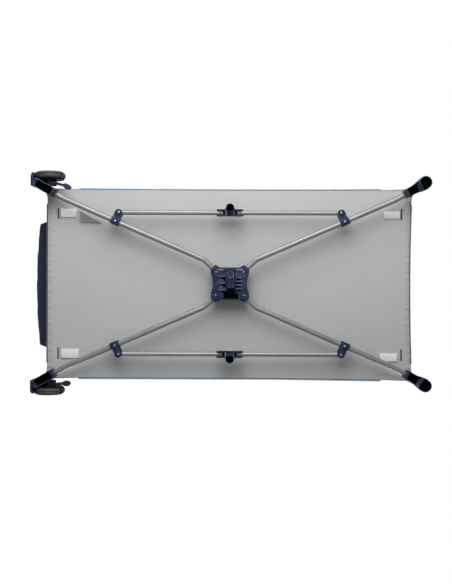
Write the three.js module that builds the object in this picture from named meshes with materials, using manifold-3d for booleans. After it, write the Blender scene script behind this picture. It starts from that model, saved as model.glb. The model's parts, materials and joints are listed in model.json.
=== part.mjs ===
// A folding travel cot: a centre hub with four bent cross tubes to four corner feet, corner posts,
// folding top rails with latches, a fabric base and walls, a pocket and a mattress.
// Lengths are in millimetres. X runs along the cot, with the wheels at -X, Y across it, Z up from the floor.
// Most pieces are drawn once, in the corner where X and Y are positive, and mirrored to the others.

import * as THREE from 'three';
import { mergeVertices } from 'three/addons/utils/BufferGeometryUtils.js';
import Module from 'manifold-3d';

const wasm = await Module();
wasm.setup();

// Overall size: the fabric base, the rail axis and the axis of the tubes under the base.
// The posts stand just outside the base, and the walls, wheels and pocket follow these sizes
const baseHalfLength = 586;
const baseHalfWidth = 300;
const railHeight = 740;
const tubeHeight = 42;
const postOutX = 18;
const postOutY = 12;
const postX = baseHalfLength + postOutX;
const postY = baseHalfWidth + postOutY;

// Clearances
const fit = 0.3;
const slack = 0.8;
const overrun = 6;
const weld = 0.0001;

// Pins, rivets and the holes for them
const pinRadius = 3;
const rivetRadius = 2.5;
const rivetHeadRadius = 5;
const rivetHeadHeight = 1.4;

// Cross tubes: hinge pins at the hub and at the foot, with a bend near each
const crossRadius = 8.5;
const crossWall = 1.3;
const hubPinX = 50.5;
const hubPinY = 44.5;
const hubRun = 42;
const hubAngle = THREE.MathUtils.degToRad(44.6);
const footRun = 97;
const footAngle = THREE.MathUtils.degToRad(29.6);
const footPinReach = 36;
const tubeOver = 10;
const hubBendReach = 16;
const footBendReach = 12;

// Side tubes and the brackets that hold them to the cross tubes
const sideRadius = 7.5;
const sideWall = 1.3;
const bracketShare = 0.637;
const bracketReach = 29.6;
const bracketHalfWidth = 13;
const bracketNose = 10;
const bracketPlate = 3;
const bracketGap = 0.5;
const sideOver = 8;

// Mid feet, under the middle of each long side
const midPinX = 30;
const midFlangeHalf = 42;
const midFlangePlate = 3;
const midFlangeGap = 4.6;
const midFlangeHeight = 15;
const midCoreHalf = 9;
const midFootRadius = 12.5;
const midFootOut = 13;
const midFootBore = 8.5;
const midFootBoreDepth = 10;
const midPinLean = new THREE.Vector3(-0.255, 0.944, 0.211).normalize();

// Corner feet: a cup or a socket for the post, with a forked arm that holds the cross tube
const cupRadius = 19.5;
const cupShoulder = 44;
const cupTop = 78;
const cupTopRadius = 15;
const cupBore = 16.5;
const cupBoreDepth = 13;
const postFloor = 22;
const socketRadius = 14.2;
const socketBottom = 18;
const armLength = 62;
const armHalfWidth = 14.5;
const armRootHalfWidth = 13;
const cupArmHalfWidth = 18;
const cupShiftX = 3.3;
const cupShiftY = 3.9;
const armRoot = 12;
const armRise = 14;
const armFloor = 4;
const armFloorDrop = 14;
const armBottom = 8;
const armWall = 3;
const armCorner = 6;
const forkGap = 0.8;
const turnRoom = 0.5;

// Corner posts
const postRadius = 11;
const postWall = 1.4;

// Wheels, axles, fenders and brake levers at the left feet
const wheelInset = 37;
const wheelOut = 27;
const wheelX = postX - wheelInset;
const wheelY = postY + wheelOut;
const wheelRadius = 43.5;
const tyreWidth = 22;
const tyreDepth = 9;
const tyreRound = 4;
const coreRim = 5;
const coreHubRadius = 10;
const coreWeb = 5;
const axleRadius = 4;
const axleCap = 1.6;
const axleBoss = 9;
const axleBossInset = 26;
const axleBossLength = 6;
const fenderRoom = 3;
const fenderPlate = 2.6;
const fenderSkirt = 24;
const webThickness = 4;
const webRise = 2;
const leverEyeRadius = 10;
const leverWidth = 10.4;
const leverNeckHeight = 8;
const leverPaddleStart = 40;
const leverReach = 69;
const leverPaddleWidth = 16;
const leverPaddleHeight = 6;
const leverDrop = 8;

// Top rails and top corners
const railRadius = 9.5;
const railWall = 1.4;
const railOut = 8;
const railPinReach = 40;
const railOver = 9;
const cheekGap = 0.8;
const cheekPlate = 4;
const cheekOver = 14;
const cheekRise = 18;
const cheekDrop = 15;
const capRadius = 15.5;
const capDrop = 40;
const capCrown = 4;
const latchPin = 27;
const latchHalf = 46;
const latchCoreHalf = 12;
const latchPlate = 3.6;
const latchFloor = 4;
const latchRise = 11;
const latchLooseFit = 2.4;
const buttonHalfLength = 8;
const buttonHalfWidth = 6;
const buttonProud = 4;
const buttonInside = 3;
const buttonTravel = 3;
const buttonFit = 0.4;

// Hub: a cover with four forked corners over a lower plate, a lock lever and its strap
const hubHalfLength = 50;
const hubHalfWidth = 50;
const hubCorner = 12;
const hubPlateBottom = 26;
const hubPlateThickness = 4.7;
const hubPlateHalfLength = 60;
const hubPlateHalfWidth = 50.7;
const hubPlateWaist = 53;
const hubPlateShoulder = 34;
const hubPlateEdge = 38;
const hubPlateSeam = 8.7;
const hubTop = 88;
const hubRoof = 22;
const earReach = 4.1;
const earRoot = 30;
const earGap = 3.6;
const earPlate = 2.8;
const knuckleRadius = 17.5;
const knuckleSlack = 0.7;
const knuckleSide = 0.7;
const knuckleRound = 9.6;
const channelX = 4;
const channelHalfWidth = 17;
const channelHalfLength = 46;
const channelTop = 62;
const keyX = 3;
const keyY = -1.5;
const keyHalfLength = 16;
const keyHalfWidth = 11;
const keyBottom = 10;
const keyTop = 46;
const keyStem = 5;
const keyStemTop = 76;
const loopLength = 20;
const loopWall = 4;
const loopHeight = 7;
const ribHeight = 6;
const ribWidth = 2.4;
const leftRibPitch = 21.4;
const rightRibPitch = 11.7;
const leftRibs = 3;
const rightRibs = 4;
const ribRun = 20;
const hubRivetX = 42.4;
const hubRivetY = 35.1;
const hubRivetHead = 3;
const strapWidth = 11;
const strapThickness = 2.2;
const strapTop = 135;
const strapRoom = 1;

// Fabric base, walls and pocket, and the mattress
const baseCorner = 24;
const baseThickness = 3;
const slotInsetX = 38.5;
const slotInsetY = 77;
const slotX = baseHalfLength - slotInsetX;
const slotY = baseHalfWidth - slotInsetY;
const slotHalfLength = 17;
const slotHalfWidth = 4;
const wallThickness = 2.5;
const wallOver = 5;
const wallTop = railHeight + wallOver;
const pocketDepth = 36;
const pocketShare = 0.69;
const pocketHalfWidth = baseHalfWidth * pocketShare;
const pocketOffset = 7;
const pocketTaper = 22;
const pocketBottom = 150;
const pocketBelow = 260;
const pocketTop = railHeight - pocketBelow;
const pocketSkin = 2.5;
const mattressThickness = 28;
const mattressGap = 6;
const mattressCorner = 40;
const mattressCrown = 5;
const mattressHoleHalf = 14;

// Facets of round pieces
const tubeSides = 12;
const pinSides = 8;
const footSides = 16;
const wheelSides = 20;
const cornerSteps = 3;
const bendSteps = 2;

// Colours, roughness and metalness
function look(colour, roughness, metalness = 0) {
  return () => new THREE.MeshStandardMaterial({ color: new THREE.Color(colour), roughness, metalness });
}
const greyPaint = look('#9ea3a6', 0.42, 0.3);
const navyPlastic = look('#2f3846', 0.55);
const blackPlastic = look('#191b1f', 0.6);
const tyreRubber = look('#6b655e', 0.85);
const steel = look('#b9bcbe', 0.35, 0.9);
const greyFabric = look('#b5b9bb', 0.9);
const paleBlueFabric = look('#a9c0cf', 0.9);
const navyFabric = look('#2b3447', 0.9);
const cushionFabric = look('#c3c8cb', 0.9);
const whiteWebbing = look('#d9dadb', 0.85);

// Turning a geometry into a closed solid, and a solid back into a geometry
function solidOf(geometry) {
  const bare = geometry.clone();
  bare.deleteAttribute('normal');
  bare.deleteAttribute('uv');
  const merged = mergeVertices(bare, weld);
  const place = merged.attributes.position.array;
  const corners = [];
  const [a, b, c] = [new THREE.Vector3(), new THREE.Vector3(), new THREE.Vector3()];
  let volume = 0;
  for (let i = 0; i < merged.index.count; i += 3) {
    const face = [0, 1, 2].map((k) => merged.index.getX(i + k));
    if (new Set(face).size < 3) continue;
    [a, b, c].forEach((v, k) => v.fromArray(place, 3 * face[k]));
    volume += a.dot(b.cross(c));
    corners.push(face);
  }
  if (volume < 0) corners.forEach((face) => face.reverse());
  return new wasm.Manifold(new wasm.Mesh({
    numProp: 3,
    vertProperties: new Float32Array(place),
    triVerts: new Uint32Array(corners.flat()),
  }));
}

function geometryOf(solid) {
  const mesh = solid.getMesh();
  const geometry = new THREE.BufferGeometry();
  geometry.setAttribute('position', new THREE.BufferAttribute(new Float32Array(mesh.vertProperties), 3));
  geometry.setIndex(new THREE.BufferAttribute(new Uint32Array(mesh.triVerts), 1));
  geometry.computeVertexNormals();
  return geometry;
}

const join = (first, ...others) => others.reduce((all, next) => all.add(next), first);
const cut = (first, ...others) => others.reduce((all, next) => all.subtract(next), first);

// Simple solids
function block(x0, x1, y0, y1, z0, z1) {
  return solidOf(new THREE.BoxGeometry(x1 - x0, y1 - y0, z1 - z0)
    .translate((x0 + x1) / 2, (y0 + y1) / 2, (z0 + z1) / 2));
}

function rod(from, to, radius, sides = pinSides) {
  const axis = to.clone().sub(from);
  const geometry = new THREE.CylinderGeometry(radius, radius, axis.length(), sides);
  geometry.applyQuaternion(new THREE.Quaternion().setFromUnitVectors(new THREE.Vector3(0, 1, 0), axis.normalize()));
  const middle = from.clone().add(to).multiplyScalar(0.5);
  return solidOf(geometry.translate(middle.x, middle.y, middle.z));
}

function pinAt(centre, direction, halfLength, radius, sides = pinSides) {
  const half = direction.clone().normalize().multiplyScalar(halfLength);
  return rod(centre.clone().sub(half), centre.clone().add(half), radius, sides);
}

function upright(x, y, z0, z1, radius, sides = pinSides) {
  return rod(new THREE.Vector3(x, y, z0), new THREE.Vector3(x, y, z1), radius, sides);
}

function prism(outline, z0, z1) {
  const shape = new THREE.Shape(outline.map(([x, y]) => new THREE.Vector2(x, y)));
  return solidOf(new THREE.ExtrudeGeometry(shape, { depth: z1 - z0, bevelEnabled: false }).translate(0, 0, z0));
}

// A profile of [radius, height] pairs turned about the Z axis, or about the Y axis
function turnedGeometry(profile, sides) {
  return new THREE.LatheGeometry(profile.map(([r, z]) => new THREE.Vector2(r, z)), sides);
}
const turned = (profile, sides) => solidOf(turnedGeometry(profile, sides).rotateX(Math.PI / 2));

// An outline with each corner replaced by a short curve
function rounded(points, radius, steps = cornerSteps) {
  const outline = [];
  points.forEach(([x, y], i) => {
    const corner = new THREE.Vector2(x, y);
    const before = new THREE.Vector2(...points.at(i - 1)).sub(corner);
    const after = new THREE.Vector2(...points[(i + 1) % points.length]).sub(corner);
    const reach = Math.min(radius, before.length() / 2.2, after.length() / 2.2);
    const start = corner.clone().add(before.setLength(reach));
    const end = corner.clone().add(after.setLength(reach));
    const curve = new THREE.QuadraticBezierCurve(start, corner, end);
    curve.getPoints(steps).forEach((p) => outline.push([p.x, p.y]));
  });
  return outline;
}

const rectangle = (x0, x1, y0, y1) => [[x0, y0], [x1, y0], [x1, y1], [x0, y1]];

function arc(cx, cy, radius, from, to, steps) {
  return Array.from({ length: steps + 1 }, (_, i) => {
    const angle = from + ((to - from) * i) / steps;
    return [cx + radius * Math.cos(angle), cy + radius * Math.sin(angle)];
  });
}

// A route of straight runs whose corners are replaced by bends, walked one point at a time
class BentRoute extends THREE.Curve {
  constructor(points, reaches) {
    super();
    this.route = [points[0]];
    for (let i = 1; i < points.length - 1; i += 1) {
      const before = points[i - 1].clone().sub(points[i]).setLength(reaches[i - 1]).add(points[i]);
      const after = points[i + 1].clone().sub(points[i]).setLength(reaches[i - 1]).add(points[i]);
      this.route.push(...new THREE.QuadraticBezierCurve3(before, points[i], after).getPoints(bendSteps));
    }
    this.route.push(points.at(-1));
  }

  get steps() {
    return this.route.length - 1;
  }

  getPointAt(u, target = new THREE.Vector3()) {
    return target.copy(this.route[Math.round(u * this.steps)]);
  }

  getTangentAt(u, target = new THREE.Vector3()) {
    const i = Math.round(u * this.steps);
    const before = this.route[Math.max(i - 1, 0)];
    const after = this.route[Math.min(i + 1, this.steps)];
    return target.copy(after).sub(before).normalize();
  }
}

function sweep(route, radius) {
  const section = new THREE.Shape(arc(0, 0, radius, 0, 2 * Math.PI, tubeSides)
    .slice(0, tubeSides).map(([x, y]) => new THREE.Vector2(x, y)));
  return solidOf(new THREE.ExtrudeGeometry(section, {
    steps: route.steps, extrudePath: route, bevelEnabled: false,
  }));
}

function straightTube(from, to, radius, wall) {
  const along = to.clone().sub(from).setLength(overrun);
  return cut(
    rod(from, to, radius, tubeSides),
    rod(from.clone().sub(along), to.clone().add(along), radius - wall, tubeSides),
  );
}

// Places that several pieces share
const across = (angle) => new THREE.Vector3(Math.cos(angle), Math.sin(angle), 0);
const post = new THREE.Vector3(postX, postY, tubeHeight);
const hubPin = new THREE.Vector3(hubPinX, hubPinY, tubeHeight);
const footPin = post.clone().addScaledVector(across(footAngle), -footPinReach);
const hubBend = hubPin.clone().addScaledVector(across(hubAngle), hubRun);
const footBend = post.clone().addScaledVector(across(footAngle), -footRun);
const hingeLine = footPin.clone().sub(hubPin).normalize();
const hinge = new THREE.Vector3(-hingeLine.y, hingeLine.x, 0);
const mainLine = footBend.clone().sub(hubBend).normalize();
const mainAngle = Math.atan2(mainLine.y, mainLine.x);
const mainSide = new THREE.Vector3(-mainLine.y, mainLine.x, 0);
const bracketPin = hubBend.clone().lerp(footBend, bracketShare);
const sidePin = bracketPin.clone().addScaledVector(mainSide, bracketReach);
const holeRadius = pinRadius + fit;
const rivetHole = rivetRadius + fit;
const turnRadius = Math.hypot(tubeOver, crossRadius) + turnRoom;
const zAxis = new THREE.Vector3(0, 0, 1);
const xAxis = new THREE.Vector3(1, 0, 0);
const yAxis = new THREE.Vector3(0, 1, 0);

// Cross tube, with holes for its two hinge pins and for the bracket's rivet. Its end at the hub is
// held in a moulded knuckle: a drum about the pin, trimmed round as seen from below
function knuckle() {
  return pinAt(hubPin, hinge, crossRadius + earGap - knuckleSide, knuckleRadius, wheelSides).intersect(
    upright(hubPinX, hubPinY, hubPlateBottom + fit, tubeHeight + crossRadius, knuckleRound, footSides),
  );
}

function crossTube() {
  const ends = [
    hubPin.clone().addScaledVector(across(hubAngle), -tubeOver),
    hubBend,
    footBend,
    footPin.clone().addScaledVector(across(footAngle), tubeOver),
  ];
  const boreEnds = [ends[0].clone(), hubBend, footBend, ends[3].clone()];
  boreEnds[0].addScaledVector(across(hubAngle), -overrun);
  boreEnds[3].addScaledVector(across(footAngle), overrun);
  const reaches = [hubBendReach, footBendReach];
  const through = crossRadius + overrun;
  return cut(
    join(sweep(new BentRoute(ends, reaches), crossRadius), knuckle()),
    sweep(new BentRoute(boreEnds, reaches), crossRadius - crossWall),
    pinAt(hubPin, hinge, through, holeRadius),
    pinAt(footPin, hinge, through, holeRadius),
    pinAt(bracketPin, zAxis, through, rivetHole),
  );
}

// Bracket: two plates and an inner wall round the cross tube, with a rivet through each tube.
// Drawn with X along the cross tube and its rivet on the Z axis
function crossBracket() {
  const inside = crossRadius + bracketGap;
  const outside = inside + bracketPlate;
  const outline = rounded([
    [-bracketHalfWidth, -outside], [bracketHalfWidth, -outside],
    [bracketHalfWidth - bracketPlate, bracketReach + bracketNose],
    [bracketPlate - bracketHalfWidth, bracketReach + bracketNose],
  ], bracketNose);
  const hollow = block(
    -bracketHalfWidth - overrun, bracketHalfWidth + overrun,
    -inside, bracketReach + bracketNose + overrun, -inside, inside,
  );
  const rivets = [0, bracketReach].map((y) => join(
    upright(0, y, -outside, outside, rivetRadius),
    upright(0, y, -outside - rivetHeadHeight, -outside + fit, rivetHeadRadius),
    upright(0, y, outside - fit, outside + rivetHeadHeight, rivetHeadRadius),
  ));
  return join(cut(prism(outline, -outside, outside), hollow), ...rivets);
}

// Side tube, from its bracket's rivet to the mid foot. The loose one carries its own short pin
function sideTube(loose) {
  const from = sidePin.clone().setX(midPinX - sideOver);
  const to = sidePin.clone().setX(sidePin.x + sideOver);
  const midPin = sidePin.clone().setX(midPinX);
  const through = sideRadius + overrun;
  const tube = cut(
    straightTube(from, to, sideRadius, sideWall),
    pinAt(sidePin, zAxis, through, rivetHole),
  );
  return loose
    ? join(tube, pinAt(midPin, midPinLean, sideRadius + slack, pinRadius))
    : cut(tube, pinAt(midPin, midPinLean, through, holeRadius));
}

// Mid foot: two flanges and a core that hold both side tubes, on a round foot. Drawn about x = 0
function midFoot() {
  const y = sidePin.y;
  const inside = sideRadius + midFlangeGap;
  const outside = inside + midFlangePlate;
  const lying = new THREE.ExtrudeGeometry(
    new THREE.Shape(rounded(
      rectangle(-midFlangeHalf, midFlangeHalf, -midFlangeHeight, midFlangeHeight), midFlangeHeight,
    ).map(([a, b]) => new THREE.Vector2(a, b))),
    { depth: 2 * outside, bevelEnabled: false },
  ).rotateX(Math.PI / 2).translate(0, y + outside, tubeHeight);
  const gaps = [-1, 1].map((side) => block(
    Math.min(side * midCoreHalf, side * (midFlangeHalf + overrun)),
    Math.max(side * midCoreHalf, side * (midFlangeHalf + overrun)),
    y - inside, y + inside,
    tubeHeight - midFlangeHeight - overrun, tubeHeight + midFlangeHeight + overrun,
  ));
  const footTop = tubeHeight - midFlangeHeight + fit;
  const foot = upright(0, y + midFootOut, 0, footTop, midFootRadius, footSides);
  const bore = upright(0, y + midFootOut, -overrun, midFootBoreDepth, midFootBore, footSides);
  const pin = pinAt(new THREE.Vector3(midPinX, y, tubeHeight), midPinLean, inside + midFlangePlate, pinRadius);
  const heads = [-1, 1].flatMap((end) => [-1, 1].map((side) => {
    const at = new THREE.Vector3(midPinX * end, y + side * (outside - fit), tubeHeight);
    return rod(at, at.clone().setY(y + side * (outside + rivetHeadHeight)), rivetHeadRadius);
  }));
  return join(cut(solidOf(lying), ...gaps), cut(foot, bore), pin, ...heads);
}

// Corner foot, drawn with the post on the Z axis and the arm along -X. The right feet stand on a cup,
// and the left feet hang their post in a socket, with a fender over the wheel
const forkHalf = crossRadius + forkGap;
const armTop = tubeHeight + armRise;
const armFloorTop = tubeHeight - armFloorDrop;

function footArm(rootHalfWidth) {
  const outline = rounded([
    [0, -rootHalfWidth], [-armRoot, -rootHalfWidth], [-armLength, -armHalfWidth],
    [-armLength, armHalfWidth], [-armRoot, rootHalfWidth], [0, rootHalfWidth],
  ], armCorner);
  const recess = rounded([
    [-footPinReach + turnRadius, armWall - armRootHalfWidth],
    [armWall - armLength, armWall - armHalfWidth],
    [armWall - armLength, armHalfWidth - armWall],
    [-footPinReach + turnRadius, armRootHalfWidth - armWall],
  ], armCorner);
  const fork = block(
    -armLength - overrun, -footPinReach + turnRadius, -forkHalf, forkHalf,
    armFloorTop, armTop + overrun,
  );
  return cut(
    prism(outline, armBottom, armTop),
    prism(recess, armBottom - overrun, armFloorTop - armFloor),
    fork,
  );
}

function footPinRod() {
  const direction = hinge.clone().applyAxisAngle(zAxis, -footAngle);
  return pinAt(new THREE.Vector3(-footPinReach, 0, tubeHeight), direction, forkHalf + armWall, pinRadius);
}

const postSocket = () => upright(0, 0, postFloor, cupTop + overrun, postRadius + fit, footSides);

function rightFoot() {
  const cup = upright(cupShiftX, cupShiftY, 0, cupShoulder, cupRadius, footSides);
  const shoulder = turned([
    [0, postFloor], [cupTopRadius, postFloor], [cupTopRadius, cupTop], [0, cupTop],
  ], footSides);
  return join(
    cut(
      join(cup, shoulder, footArm(cupArmHalfWidth)),
      upright(cupShiftX, cupShiftY, -overrun, cupBoreDepth, cupBore, footSides),
      postSocket(),
    ),
    footPinRod(),
  );
}

// The wheel's place as seen from the left foot's own frame
const fenderInner = wheelY - tyreWidth / 2 - fit - slack;
const fenderRadius = wheelRadius + fenderRoom + fenderPlate;
const axleStart = wheelY - axleBossInset - axleBossLength;

function fender() {
  const z = wheelRadius;
  const outline = [
    [wheelX + fenderRadius, fenderSkirt],
    ...arc(wheelX, z, fenderRadius, 0, Math.PI, cornerSteps * 3),
    [wheelX - fenderRadius, fenderSkirt],
  ];
  const inner = fenderRadius - fenderPlate;
  const hollow = [
    [wheelX + inner, fenderSkirt - overrun],
    ...arc(wheelX, z, inner, 0, Math.PI, cornerSteps * 3),
    [wheelX - inner, fenderSkirt - overrun],
  ];
  const slab = (points, y0, y1) => solidOf(new THREE.ExtrudeGeometry(
    new THREE.Shape(points.map(([x, y]) => new THREE.Vector2(x, y))),
    { depth: y1 - y0, bevelEnabled: false },
  ).rotateX(Math.PI / 2).translate(0, y1, 0));
  return cut(
    slab(outline, fenderInner - fenderPlate, wheelY + tyreWidth / 2),
    slab(hollow, fenderInner, wheelY + tyreWidth / 2 + overrun),
  );
}

function leftFoot() {
  const toWorld = new THREE.Matrix4().makeTranslation(postX, postY, 0)
    .multiply(new THREE.Matrix4().makeRotationZ(footAngle));
  const moved = (solid) => solidOf(geometryOf(solid).applyMatrix4(toWorld));
  const socket = upright(0, 0, socketBottom, cupTop, socketRadius, footSides);
  const axleHeight = wheelRadius;
  const boss = rod(
    new THREE.Vector3(wheelX, axleStart, axleHeight),
    new THREE.Vector3(wheelX, axleStart + axleBossLength, axleHeight), axleBoss, tubeSides,
  );
  const webTop = armTop + webRise;
  const webEnd = postX - armLength * Math.cos(footAngle);
  const webInner = wheelY - axleBossInset - armWall * 2;
  const wallX = postX + postRadius + fit;
  const web = join(
    block(webEnd, wallX + armWall, webInner, fenderInner - fenderPlate / 2, webTop - webThickness, webTop),
    block(wallX, wallX + armWall, postY - armRootHalfWidth, fenderInner - fenderPlate / 2, fenderSkirt, webTop),
  );
  const body = join(moved(join(footArm(armRootHalfWidth), socket)), fender(), boss, web);
  return join(
    cut(
      body,
      moved(postSocket()),
      moved(block(-armLength - overrun, -footPinReach + turnRadius, -forkHalf, forkHalf, armFloorTop, armTop + overrun)),
      rod(
        new THREE.Vector3(wheelX, axleStart, axleHeight),
        new THREE.Vector3(wheelX, wheelY, axleHeight), axleRadius + fit, tubeSides,
      ),
    ),
    moved(footPinRod()),
  );
}

// Corner post
function cornerPost() {
  return straightTube(
    new THREE.Vector3(postX, postY, postFloor + fit),
    new THREE.Vector3(postX, postY, railHeight + capCrown), postRadius, postWall,
  );
}

// Wheel: a tyre and a core, turned about the axle, and the brake lever on the same axle
const aboutAxle = (profile, sides) => solidOf(
  turnedGeometry(profile, sides).translate(wheelX, wheelY, wheelRadius),
);

function tyre() {
  const half = tyreWidth / 2;
  const inner = wheelRadius - tyreDepth;
  return aboutAxle([
    [inner, -half], [wheelRadius - tyreRound, -half], [wheelRadius, tyreRound - half],
    [wheelRadius, half - tyreRound], [wheelRadius - tyreRound, half], [inner, half], [inner, -half],
  ], wheelSides);
}

function wheelCore() {
  const half = tyreWidth / 2;
  const rim = wheelRadius - tyreDepth - fit;
  const hole = axleRadius + fit;
  return aboutAxle([
    [hole, -half], [coreHubRadius, -half], [coreHubRadius, -coreWeb / 2], [rim - coreRim, -coreWeb / 2],
    [rim - coreRim, -half], [rim, -half], [rim, half], [rim - coreRim, half],
    [rim - coreRim, coreWeb / 2], [coreHubRadius, coreWeb / 2], [coreHubRadius, half], [hole, half], [hole, -half],
  ], wheelSides);
}

function axle() {
  const at = (y) => new THREE.Vector3(wheelX, y, wheelRadius);
  const end = wheelY + tyreWidth / 2 + slack;
  return join(
    rod(at(axleStart + fit), at(end + axleCap), axleRadius, tubeSides),
    rod(at(end), at(end + axleCap), axleRadius + axleCap, tubeSides),
  );
}

function brakeLever() {
  const y0 = axleStart + axleBossLength + slack / 2;
  const y1 = y0 + leverWidth;
  const eye = rod(
    new THREE.Vector3(wheelX, y0, wheelRadius), new THREE.Vector3(wheelX, y1, wheelRadius),
    leverEyeRadius, tubeSides,
  );
  const z = wheelRadius - leverDrop;
  const neck = block(
    wheelX - leverPaddleStart - leverPaddleHeight, wheelX, y0, y1, z - leverNeckHeight / 2, z + leverNeckHeight / 2,
  );
  const paddleOutline = rounded(rectangle(
    wheelX - leverReach, wheelX - leverPaddleStart, y1 - leverPaddleWidth, y1,
  ), leverPaddleHeight);
  const paddle = prism(paddleOutline, z - leverPaddleHeight / 2, z + leverPaddleHeight / 2);
  return cut(
    join(eye, neck, paddle),
    rod(
      new THREE.Vector3(wheelX, y0 - overrun, wheelRadius),
      new THREE.Vector3(wheelX, y1 + overrun, wheelRadius), axleRadius + fit, tubeSides,
    ),
  );
}

// Top corner: a cap on the post, with a fork for each rail, open below
const railHalf = railRadius + cheekGap;
const cheekHalf = railHalf + cheekPlate;
const railTurn = Math.hypot(railOver, railRadius) + turnRoom;
const longRailY = postY + railOut;
const shortRailX = postX + railOut;

function topCorner() {
  const top = railHeight + cheekRise;
  const reach = railPinReach + cheekOver;
  const bottom = railHeight - cheekDrop;
  const capBottom = railHeight - capDrop;
  const body = join(
    upright(postX, postY, capBottom, top, capRadius, footSides),
    prism(rounded(rectangle(postX - reach, shortRailX + cheekHalf, longRailY - cheekHalf, longRailY + cheekHalf), armCorner), bottom, top),
    prism(rounded(rectangle(shortRailX - cheekHalf, shortRailX + cheekHalf, postY - reach, longRailY + cheekHalf), armCorner), bottom, top),
  );
  const roof = railHeight + railTurn;
  return join(
    cut(
      body,
      block(postX - reach - overrun, postX - railPinReach + railTurn, longRailY - railHalf, longRailY + railHalf, bottom - overrun, roof),
      block(shortRailX - railHalf, shortRailX + railHalf, postY - reach - overrun, postY - railPinReach + railTurn, bottom - overrun, roof),
      upright(postX, postY, capBottom - overrun, railHeight + capCrown + fit, postRadius + fit, footSides),
    ),
    pinAt(new THREE.Vector3(postX - railPinReach, longRailY, railHeight), yAxis, cheekHalf - fit, pinRadius),
    pinAt(new THREE.Vector3(shortRailX, postY - railPinReach, railHeight), xAxis, cheekHalf - fit, pinRadius),
  );
}

// Rail halves. The loose ones have a wider hole at the latch
function rail(outerEnd, place, cross, loose) {
  const outer = outerEnd - railPinReach;
  const through = railRadius + overrun;
  return cut(
    straightTube(place(latchPin - railOver), place(outer + railOver), railRadius, railWall),
    pinAt(place(outer), cross, through, holeRadius),
    pinAt(place(latchPin), cross, through, loose ? pinRadius + latchLooseFit : holeRadius),
  );
}
const longRail = (loose) => rail(postX, (x) => new THREE.Vector3(x, longRailY, railHeight), yAxis, loose);
const shortRail = (loose) => rail(postY, (y) => new THREE.Vector3(shortRailX, y, railHeight), xAxis, loose);

// Latch in the middle of a rail, drawn along X about the origin: a trough, open above, with two pins
function latch() {
  const half = railRadius + cheekGap;
  const outside = half + latchPlate;
  const bottom = -railTurn - latchFloor;
  const body = prism(rounded(rectangle(-latchHalf, latchHalf, -outside, outside), armCorner), bottom, latchRise);
  const troughs = [-1, 1].map((side) => block(
    Math.min(side * latchCoreHalf, side * (latchHalf + overrun)),
    Math.max(side * latchCoreHalf, side * (latchHalf + overrun)),
    -half, half, -railTurn, latchRise + overrun,
  ));
  const pocket = block(
    -buttonHalfLength - buttonFit, buttonHalfLength + buttonFit,
    -buttonHalfWidth - buttonFit, buttonHalfWidth + buttonFit,
    bottom - overrun, bottom + buttonInside + buttonTravel,
  );
  const pins = [-latchPin, latchPin].map((x) => pinAt(new THREE.Vector3(x, 0, 0), yAxis, outside - fit, pinRadius));
  return join(cut(body, ...troughs, pocket), ...pins);
}

function latchButton() {
  const bottom = -railTurn - latchFloor;
  return prism(
    rounded(rectangle(-buttonHalfLength, buttonHalfLength, -buttonHalfWidth, buttonHalfWidth), buttonProud),
    bottom - buttonProud, bottom + buttonInside,
  );
}

// Hub cover: a rounded box with a forked ear pair at each corner, and a channel for the lock lever
const signs = [[1, 1], [-1, 1], [-1, -1], [1, -1]];
const earHalf = crossRadius + earGap;

const earOutside = earHalf + earPlate;
const knuckleRoom = knuckleRadius + knuckleSlack;

// A bar square to a hinge pin of the hub, from and to a distance along the hinge line
function hubBar(sx, sy, from, to, half, z0, z1) {
  const direction = new THREE.Vector3(sx * hingeLine.x, sy * hingeLine.y, 0);
  const side = new THREE.Vector3(-direction.y, direction.x, 0);
  const pin = new THREE.Vector3(sx * hubPinX, sy * hubPinY, 0);
  return prism(rectangle(from, to, -half, half).map(([a, b]) => {
    const p = pin.clone().addScaledVector(direction, a).addScaledVector(side, b);
    return [p.x, p.y];
  }), z0, z1);
}

function hubPinRod(sx, sy, half, radius, sides) {
  return pinAt(
    new THREE.Vector3(sx * hubPinX, sy * hubPinY, tubeHeight),
    new THREE.Vector3(sx * hinge.x, sy * hinge.y, 0), half, radius, sides,
  );
}

function hubCover() {
  const bottom = hubPlateBottom + hubPlateThickness + fit;
  const earBottom = tubeHeight - crossRadius;
  const body = prism(
    rounded(rectangle(-hubHalfLength, hubHalfLength, -hubHalfWidth, hubHalfWidth), hubCorner), bottom, hubTop,
  );
  const ears = signs.map(([sx, sy]) => hubBar(sx, sy, -earRoot, earReach, earOutside, earBottom, hubTop - hubRoof / 2));
  const forks = signs.map(([sx, sy]) => hubBar(
    sx, sy, -knuckleRoom, earReach + overrun, earHalf, bottom - overrun, tubeHeight + knuckleRoom,
  ));
  const channel = block(
    channelX - channelHalfWidth, channelX + channelHalfWidth,
    -channelHalfLength, channelHalfLength, bottom - overrun, channelTop,
  );
  const stemHole = upright(keyX, keyY, channelTop - overrun, hubTop + overrun, keyStem + fit, tubeSides);
  const strapSlot = strapHole(strapRoom, channelTop - overrun, hubTop + overrun);
  const pins = signs.map(([sx, sy]) => hubPinRod(sx, sy, earOutside, pinRadius));
  return join(cut(join(body, ...ears), ...forks, channel, stemHole, strapSlot), ...pins);
}

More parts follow.
